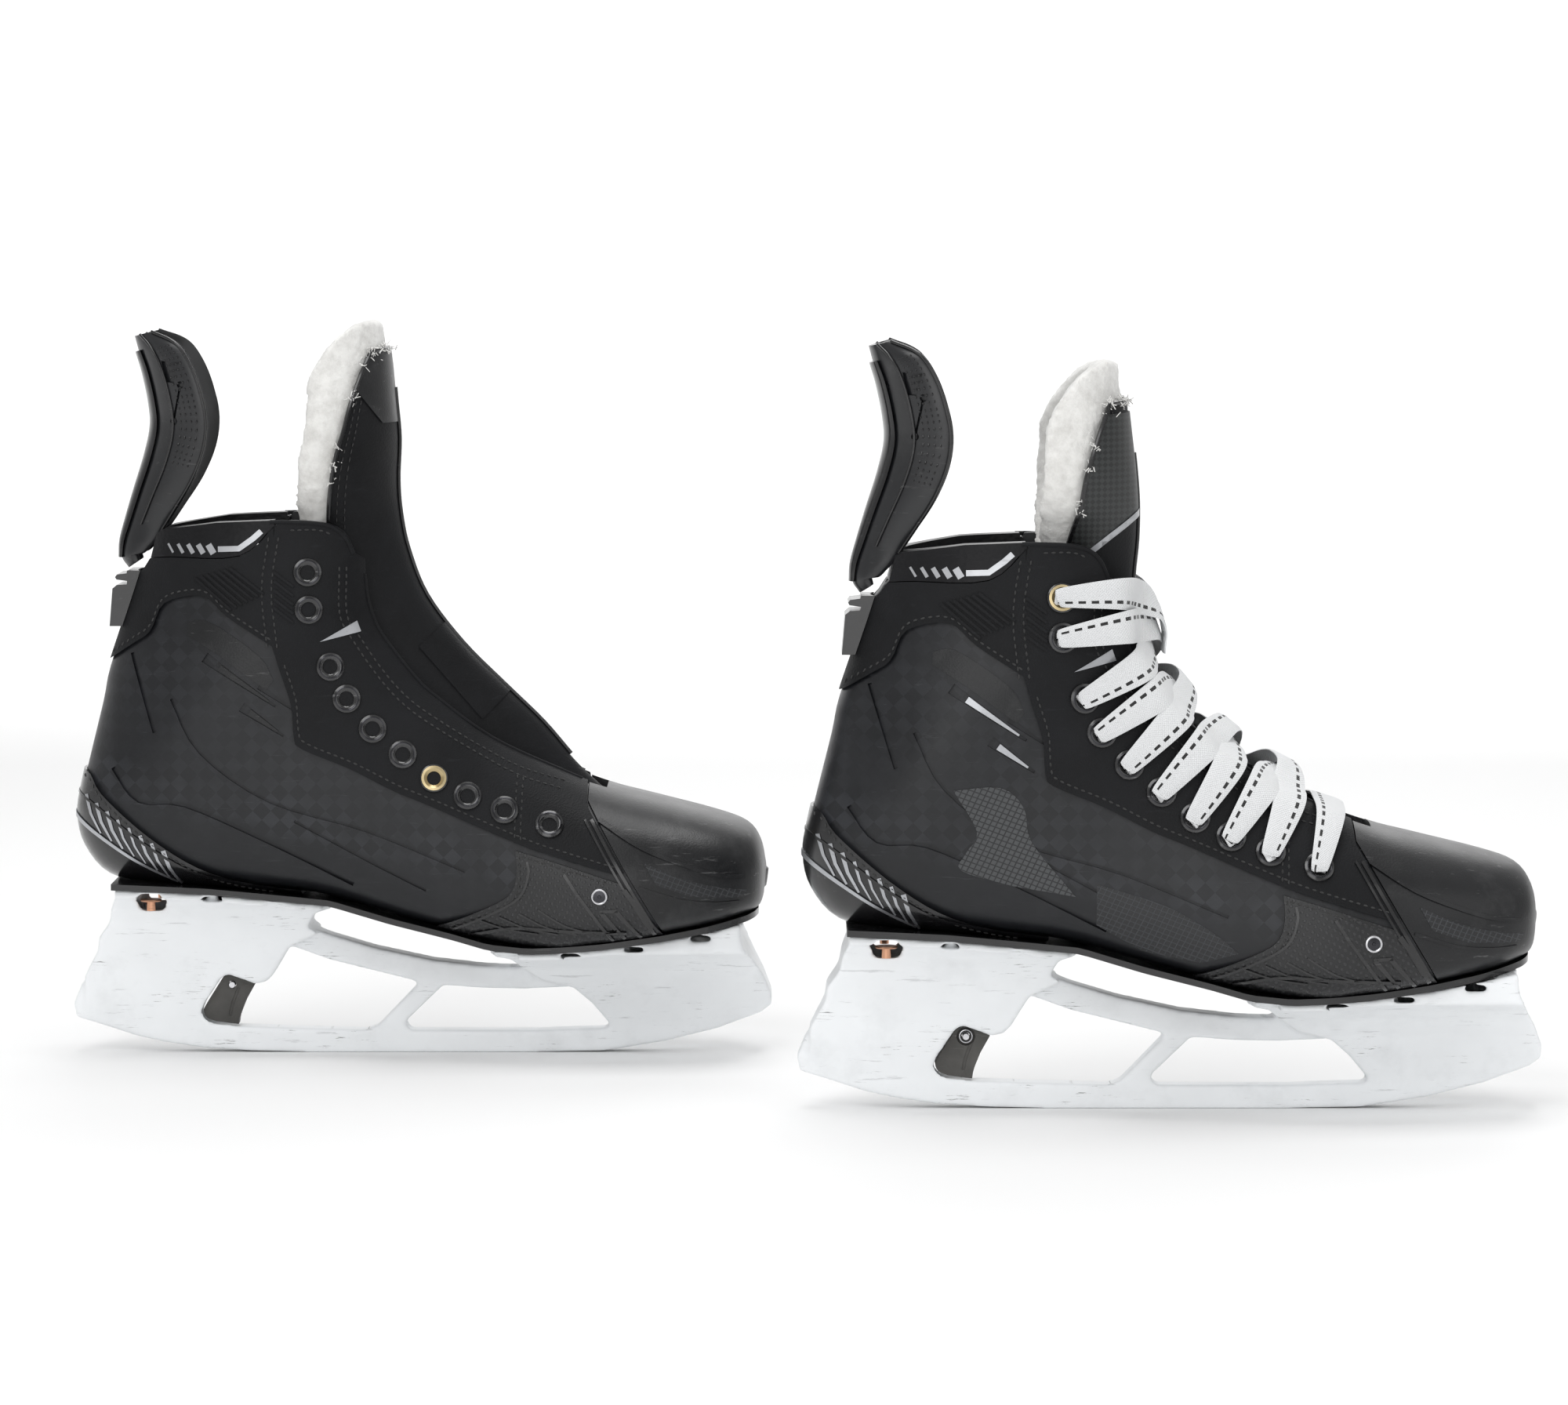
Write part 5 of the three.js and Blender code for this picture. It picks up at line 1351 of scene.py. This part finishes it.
GUARD = [
    ((-120.6, 201.5), 7, 8.5), ((-123.4, 206), 10, 10), ((-123, 213), 14, 11.5), ((-120.6, 222), 18, 13),
    ((-117, 234), 22, 17), ((-112.6, 248), 26, 21.5), ((-110, 260), 27.5, 24.5), ((-110.6, 270), 26.5, 25.5),
    ((-113, 282), 24, 24.5), ((-115.6, 291), 19, 21.5), ((-117.2, 297), 10, 15),
]
GUARD_STEPS = 44


def guard_pieces():
    """Each guard with its spine, rims and rows of dashes; its keyholes are cut part way in."""
    keyholes = [[(-104.5, 287.3), (-96.9, 287), (-99.2, 278.4), (-102.5, 278.6)],
                strip([(-96.6, 276.6), (-99.4, 263.6)], 0.9), dot(-96.4, 277.6, 1.5), dot(-99.6, 262.6, 1.5)]
    inner_wall = tool(lofted(channel(GUARD, 1.1, 1.8, -1, GUARD_STEPS, rows_between=8)))
    guard = tool(lofted(channel(GUARD, 0, 2.6, -1, GUARD_STEPS, rows_between=8)))
    guard = cut(guard, ("DIFFERENCE", cut(tool(prism(keyholes)), ("DIFFERENCE", inner_wall))))
    for skate in ("left", "right"):
        body = skate + "_guard"
        piece("tendon_guard", guard, skate, PLASTIC, body, ["tendon_guard"], "plastic", 40)
        spine = lofted(channel(at_share(GUARD[1:-1], 0.34), -1.5, 1.6, -1, 24, rows_between=8))
        piece("guard_spine", spine, skate, RUBBER, body, slot="plastic", sharp=60)
        rims = []
        for share in (0.975, 0.6):
            lines = edge_lines(at_share(GUARD[3:], share), -0.5, 0.6, -1, GUARD_STEPS, rows_between=8)
            rims += [tube(line, 0.65) for line in lines]
        piece("guard_rims", gathered(rims), skate, RUBBER, body, slot="plastic", sharp=60)
        dashes = []
        for share in (0.70, 0.76, 0.82, 0.88):
            rows = at_share(GUARD[5:-1], share)
            for line in edge_lines(rows, -0.15, 0.2, -1, GUARD_STEPS, rows_between=10):
                for a, b in zip(line[::2], line[1::2]):
                    dashes.append(dash((a + b) / 2, b - a, 0.8, max((b - a).length * 0.9, 0.6)))
        piece("guard_dashes", gathered(dashes), skate, RUBBER, body, slot="plastic")


def guard_bases():
    """The stepped block that a guard bends on."""
    base = [(-127.6, 178), (-126.3, 193.5), (-124.5, 195), (-120.4, 195.2), (-120.2, 196.6), (-124.6, 197.2),
            (-125.2, 198.2), (-124.4, 199.3), (-120.4, 199.8), (-120.2, 200.9), (-113, 200.9), (-113, 178)]
    block = cut(tool(prism([base], -11.5, 11.5)), ("DIFFERENCE", boot(FACING_TOP + GAP)))
    for made in both("guard_base", block, RUBBER, replaces=["guard_base"], slot="plastic"):
        edged(made, 0.35, 2, 30)


# ---------------------------------------------------------------- holder and trigger
TRIGGER_OUTLINE = [
    *soft([(-80.6, 32.6), (-75, 31.4), (-69.6, 28.4)], 3),
    *soft([(-73.3, 21.8), (-75.8, 15.4), (-76.5, 11.6)], 3),
    *soft([(-85.9, 12.8), (-89.5, 14.3), (-90.9, 17), (-90.1, 19.6), (-83, 31)], 4),
]
PIN_PLACE = Vector((-79, 0, 28.2))
TRIGGER_SWING = 13
HOLDER_CELL = 0.95


def swung(outline, degrees):
    """An outline turned about the trigger's pin, the way its joint turns, and grown a little."""
    turn = math.radians(degrees)
    c, s = math.cos(turn), math.sin(turn)
    pin = PIN_PLACE.xz
    made = []
    for p in outline:
        x, z = (Vector(p) - pin) * 1.04
        made.append((pin.x + x * c + z * s, pin.y - x * s + z * c))
    return made


def holder_pieces():
    """The holders, with cups under the outsole, soft edges and room for the trigger's swing."""
    pockets = []
    for x, half in ((-110.4, 29), (-84.8, 29), (-59, 29), (37, 36), (62.5, 36), (88.5, 36), (115.9, 36)):
        z = float(np.interp(x, *zip(*SOLE)))
        for sign in (-1, 1):
            deep = 5.4 if x < -100 else 3.4
            cup = [(x - 5.4, z - 1.2), (x - 4, z - deep), (x + 4, z - deep), (x + 5.4, z - 1.2)]
            ends = sorted((sign * (half - 9), sign * (half + 4)))
            pockets.append(prism([cup], *ends))
    cups = tool(gathered(pockets))
    room = [("DIFFERENCE", tool(prism([swung(TRIGGER_OUTLINE, share * TRIGGER_SWING)], -3.9, 3.9)))
            for share in (0, 0.5, 1)]
    for skate in ("left", "right"):
        bm = bmesh.new()
        bm.from_mesh(frame["nodes"][skate + "_blade_holder"].data)
        bmesh.ops.remove_doubles(bm, verts=bm.verts, dist=1e-6)
        for v in bm.verts:
            v.co = own_place(v.co, skate)
        bmesh.ops.recalc_face_normals(bm, faces=bm.faces)
        rounded = remeshed(cut(tool(bm), ("DIFFERENCE", cups)), HOLDER_CELL, 7)
        piece("blade_holder", cut(rounded, *room), skate, WHITE, replaces=["blade_holder"], slot="holder",
              sharp=60)


def trigger_pieces():
    """The trigger with its bore, spring seat and side groove, and its pin and spring."""

    def across(profile):
        return stand(lathe(profile), PIN_PLACE, (0, 1, 0))

    bore = tool(across([(0, -5), (1.6, -5), (1.6, 5), (0, 5)]))
    seat = tool(across([(0, 1.8), (3.6, 1.8), (3.6, 5), (0, 5)]))
    groove = cut(tool(prism([strip(soft([(-76.3, 27), (-79, 20), (-80, 15)]), 1.2)])),
                 ("DIFFERENCE", tool(prism([[(-100, 0), (-60, 0), (-60, 40), (-100, 40)]], -3, 3))))
    body = cut(tool(prism([TRIGGER_OUTLINE], -3.4, 3.4)), ("DIFFERENCE", bore))
    body = cut(cut(body, ("DIFFERENCE", seat)), ("DIFFERENCE", groove))
    pin = [(0, -5.1), (1.2, -5.1), (1.3, -4.9), (1.3, 4.9), (1.2, 5.1), (0, 5.1)]
    coil = [tuple(PIN_PLACE + Vector((2.45 * math.cos(a), 2.25 + 0.028 * k, 2.45 * math.sin(a))))
            for k, a in enumerate(np.arange(0, 2 * math.tau, math.tau / 20))]
    for skate in ("left", "right"):
        made = piece("runner_trigger", body, skate, TRIGGER_GREY, skate + "_trigger", ["runner_trigger"],
                     "trigger")
        edged(made, 0.4, 2, 50)
        piece("trigger_pin", across(pin), skate, STEEL, replaces=["trigger_pin"], slot="steel")
        piece("trigger_spring", tube(coil, 0.32), skate, STEEL, replaces=["trigger_spring"], slot="steel")


# ---------------------------------------------------------------- the lace
LACE_WIDTH = 13
LACE_RADIUS = 1.7


def over_throat(level, y, height):
    """A place over the opening: level in eyelets from the top, sideways place and height."""
    line = through([(x, z) for x, z, _ in THROAT], 12)
    low = int(level)

    def nearest(i):
        return int(np.argmin(((line - np.array(EYELETS[i])) ** 2).sum(axis=1)))

    t = nearest(low)
    if level > low:
        t = t + (nearest(low + 1) - t) * (level - low)
    index = min(int(t), len(line) - 2)
    at = line[index] + (line[index + 1] - line[index]) * (t - index)
    go = line[min(index + 1, len(line) - 1)] - line[max(index - 1, 0)]
    go = go / np.linalg.norm(go)
    return Vector((at[0] + go[1] * height, y, at[1] - go[0] * height))


def ribbon(points, widths, name, replaces=()):
    """A flat woven band of the right skate's lace through points, with its own map."""
    curve = through([[*p, w] for p, w in zip(points, widths)], 8)
    spots = [Vector(row[:3]) for row in curve]
    middle = [over_throat_normal(p) for p in spots]
    rings, travel, lengths = [], 0.0, []
    half_steps = 6
    for i, p in enumerate(spots):
        t = (spots[min(i + 1, len(spots) - 1)] - spots[max(i - 1, 0)]).normalized()
        up = (middle[i] - t * middle[i].dot(t)).normalized()
        across = t.cross(up)
        half = curve[i][3] / 2
        thick = 0.65 * (LACE_WIDTH / max(curve[i][3], 3.5)) ** 0.5
        if i:
            travel += (p - spots[i - 1]).length
        lengths.append(travel)
        ring = []
        for way in (1, -1):
            for k in range(half_steps + 1):
                s = way * (1 - 2 * k / half_steps)
                crown = thick * (1 - 0.75 * abs(s) ** 6)
                ring.append(tuple(p + across * half * s + up * way * crown))
        rings.append(ring)
    made = piece(name, lofted(rings), "right", LACE, replaces=replaces, slot="lace", sharp=60)
    lay = made.data.uv_layers.new(name="lace")
    tree = KDTree(len(spots))
    for i, p in enumerate(spots):
        tree.insert(p, i)
    tree.balance()
    for loop in made.data.loops:
        local = own_place(made.data.vertices[loop.vertex_index].co, "right")
        _, i, _ = tree.find(local)
        t = (spots[min(i + 1, len(spots) - 1)] - spots[max(i - 1, 0)]).normalized()
        up = (middle[i] - t * middle[i].dot(t)).normalized()
        across = (local - spots[i]).dot(t.cross(up)) / max(curve[i][3] / 2, 0.1)
        lay.data[loop.index].uv = (lengths[i] * MM, (across + 1) / 2)
    return made


def over_throat_normal(p):
    """Outward direction of the opening beside a point."""
    line = through([(x, z) for x, z, _ in THROAT], 6)
    i = int(np.argmin(((line - np.array((p.x, p.z))) ** 2).sum(axis=1)))
    go = line[min(i + 1, len(line) - 1)] - line[max(i - 1, 0)]
    out = Vector((go[1], 0, -go[0])).normalized()
    side = min(max((abs(p.y) - 9) / 16, 0), 1)
    return (out * (1 - 0.75 * side) + Vector((0, math.copysign(1.25 * side, p.y), 0))).normalized()


def lacing():
    """The lace's runs: a bar across the lowest eyelets and crossings above, each a flat band."""
    spots = {sign: [surface(x, z, sign) for x, z in EYELETS] for sign in (-1, 1)}

    def mouth(sign, i):
        point, normal = spots[sign][i]
        return [point + normal * h for h in (-5, -1.5, 2.6)]

    def corner(sign, i, ahead):
        out = abs(spots[sign][i][0].y) - 0.5
        y = out - (i / 9) * 0.6 * (out - THROAT_HALF_GAP)
        return over_throat(max(i - ahead, 0), sign * y, LACE_RADIUS + 2.4)

    rise = LACE_RADIUS + 5.5
    slim, full = 3.6, LACE_WIDTH
    bar = [*mouth(-1, 9), corner(-1, 9, 0), over_throat(9, -9, rise + 1), over_throat(9, 9, rise + 1),
           corner(1, 9, 0), *mouth(1, 9)[::-1]]
    ribbon(bar, [slim, 4.4, 7, 11, full, full, 11, 7, 4.4, slim], "lace_bar", ["lace"])
    for n, sign in enumerate((-1, 1)):
        lift = 12.5 if sign < 0 else 16.5
        for i in (8, 6, 4, 2):
            run = [*mouth(sign, i), corner(sign, i, 0.05), over_throat(i - 0.14, sign * 20, rise + 2.5),
                   over_throat(i - 0.35, sign * 8, lift), over_throat(i - 0.65, -sign * 8, lift),
                   over_throat(i - 0.86, -sign * 20, rise + 2.5), corner(-sign, i - 1, -0.05),
                   *mouth(-sign, i - 1)[::-1]]
            widths = [slim, 4.4, 7.5, 12.5, full, 11]
            ribbon(run, widths + widths[::-1], f"lace_{n}_{i}")
            sign = -sign
        end = [*mouth(sign, 0), corner(sign, 0, 0), over_throat(0.25, sign * 18, rise + 5),
               over_throat(0.8, sign * 9, 19), over_throat(1.5, sign * 4.5, 19.5),
               over_throat(2.1, sign * 3.6, 16), over_throat(2.4, sign * 3, 12)]
        ribbon(end, [slim, 4.4, 7.5, 12, full, 12, 12, full], f"lace_end_{n}")


# ---------------------------------------------------------------- studio
def area_lamp(name, at, towards, size, power):
    """A square lamp that shines along a direction."""
    light = bpy.data.lights.new(name, "AREA")
    light.size = size
    light.energy = power
    lamp = bpy.data.objects.new(name, light)
    lamp.location = at
    lamp.rotation_euler = Vector(towards).to_track_quat("-Z", "Y").to_euler()
    bpy.context.scene.collection.objects.link(lamp)


def backdrop():
    """A pale floor that bends up behind the skates."""
    floor_mesh = bpy.data.meshes.new("floor")
    bm = bmesh.new()
    bmesh.ops.create_grid(bm, x_segments=1, y_segments=1, size=6)
    back = [e for e in bm.edges if all(v.co.y > 5 for v in e.verts)]
    risen = bmesh.ops.extrude_edge_only(bm, edges=back)["geom"]
    bmesh.ops.translate(bm, verts=[g for g in risen if isinstance(g, bmesh.types.BMVert)], vec=(0, 0, 5))
    bend = [e for e in bm.edges if not e.is_boundary]
    bmesh.ops.bevel(bm, geom=bend, offset=4, offset_type="OFFSET", segments=32, profile=0.5,
                    affect="EDGES", material=-1)
    for face in bm.faces:
        face.smooth = True
    bm.to_mesh(floor_mesh)
    bm.free()
    floor = bpy.data.objects.new("floor", floor_mesh)
    bpy.context.scene.collection.objects.link(floor)
    pale = Finish("pale_floor", (0.9, 0.9, 0.9), 0.75)
    drift = node(pale.tree, "TexNoise", {"Scale": 1.5, "Detail": 1.0})
    pale.link(pale.place, drift.inputs["Vector"])
    pale.paint(ramp(pale.tree, drift.outputs["Fac"], [(0, grey(0.88)), (1, grey(0.92))]))
    floor_mesh.materials.append(pale.made)
    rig.stage(floor)


def studio():
    """White surroundings, the lamps and the camera."""
    low, high = [Vector(corner) for corner in cad_box]
    middle = (low + high) / 2
    world = bpy.data.worlds.new("studio")
    world.use_nodes = True
    sky = world.node_tree.nodes["Background"]
    sky.inputs["Color"].default_value = (1, 1, 1, 1)
    sky.inputs["Strength"].default_value = 0.5
    bpy.context.scene.world = world
    area_lamp("wall", (0, 2.6, 2.8), (0, 3.4, -1.6), 4, 85)
    lamps = {
        "key": ((-0.9, -1.6, 1.7), 1.2, 15),
        "fill": ((1.5, -1.5, 0.9), 1.6, 6),
        "top": ((0.0, 0.1, 2.0), 1.2, 20),
        "back": ((0.3, 1.9, 1.3), 1.6, 9),
        "strip": ((-0.2, -1.9, 0.25), 0.9, 4.5),
    }
    for name, (at, size, power) in lamps.items():  # places are from the middle of the pair
        area_lamp(name, middle + Vector(at), -Vector(at), size, power)

    lens = bpy.data.cameras.new("camera")
    lens.lens = 135
    lens.clip_end = 30
    camera = bpy.data.objects.new("camera", lens)
    bpy.context.scene.collection.objects.link(camera)
    tilt, distance, look_height = math.radians(5), 2.36, 0.152
    aim = Vector((middle.x, middle.y, look_height))
    camera.location = aim + Vector((0, -math.cos(tilt), math.sin(tilt))) * distance
    camera.rotation_euler = (aim - camera.location).to_track_quat("-Z", "Y").to_euler()
    bpy.context.scene.camera = camera
    bpy.context.scene.view_settings.view_transform = "Standard"


backdrop()
studio()
shell_pieces()
toe_pieces()
wrap_pieces()
inside_pieces()
pad_pieces()
stitching()
edge_rolls()
eyelet_pieces()
tongue_pieces()
guard_pieces()
guard_bases()
holder_pieces()
trigger_pieces()
lacing()
for skate in ("left", "right"):
    footbed = frame["nodes"][skate + "_footbed"]
    footbed.data.materials.clear()
    footbed.data.materials.append(LINING)
for leftover in dict.fromkeys(TOOLS):
    bpy.data.objects.remove(leftover)

sizes = {"cad": [list(corner) for corner in cad_box], "visual": [list(corner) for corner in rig.bounds()]}
with open("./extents.json", "w") as out:
    json.dump(sizes, out)
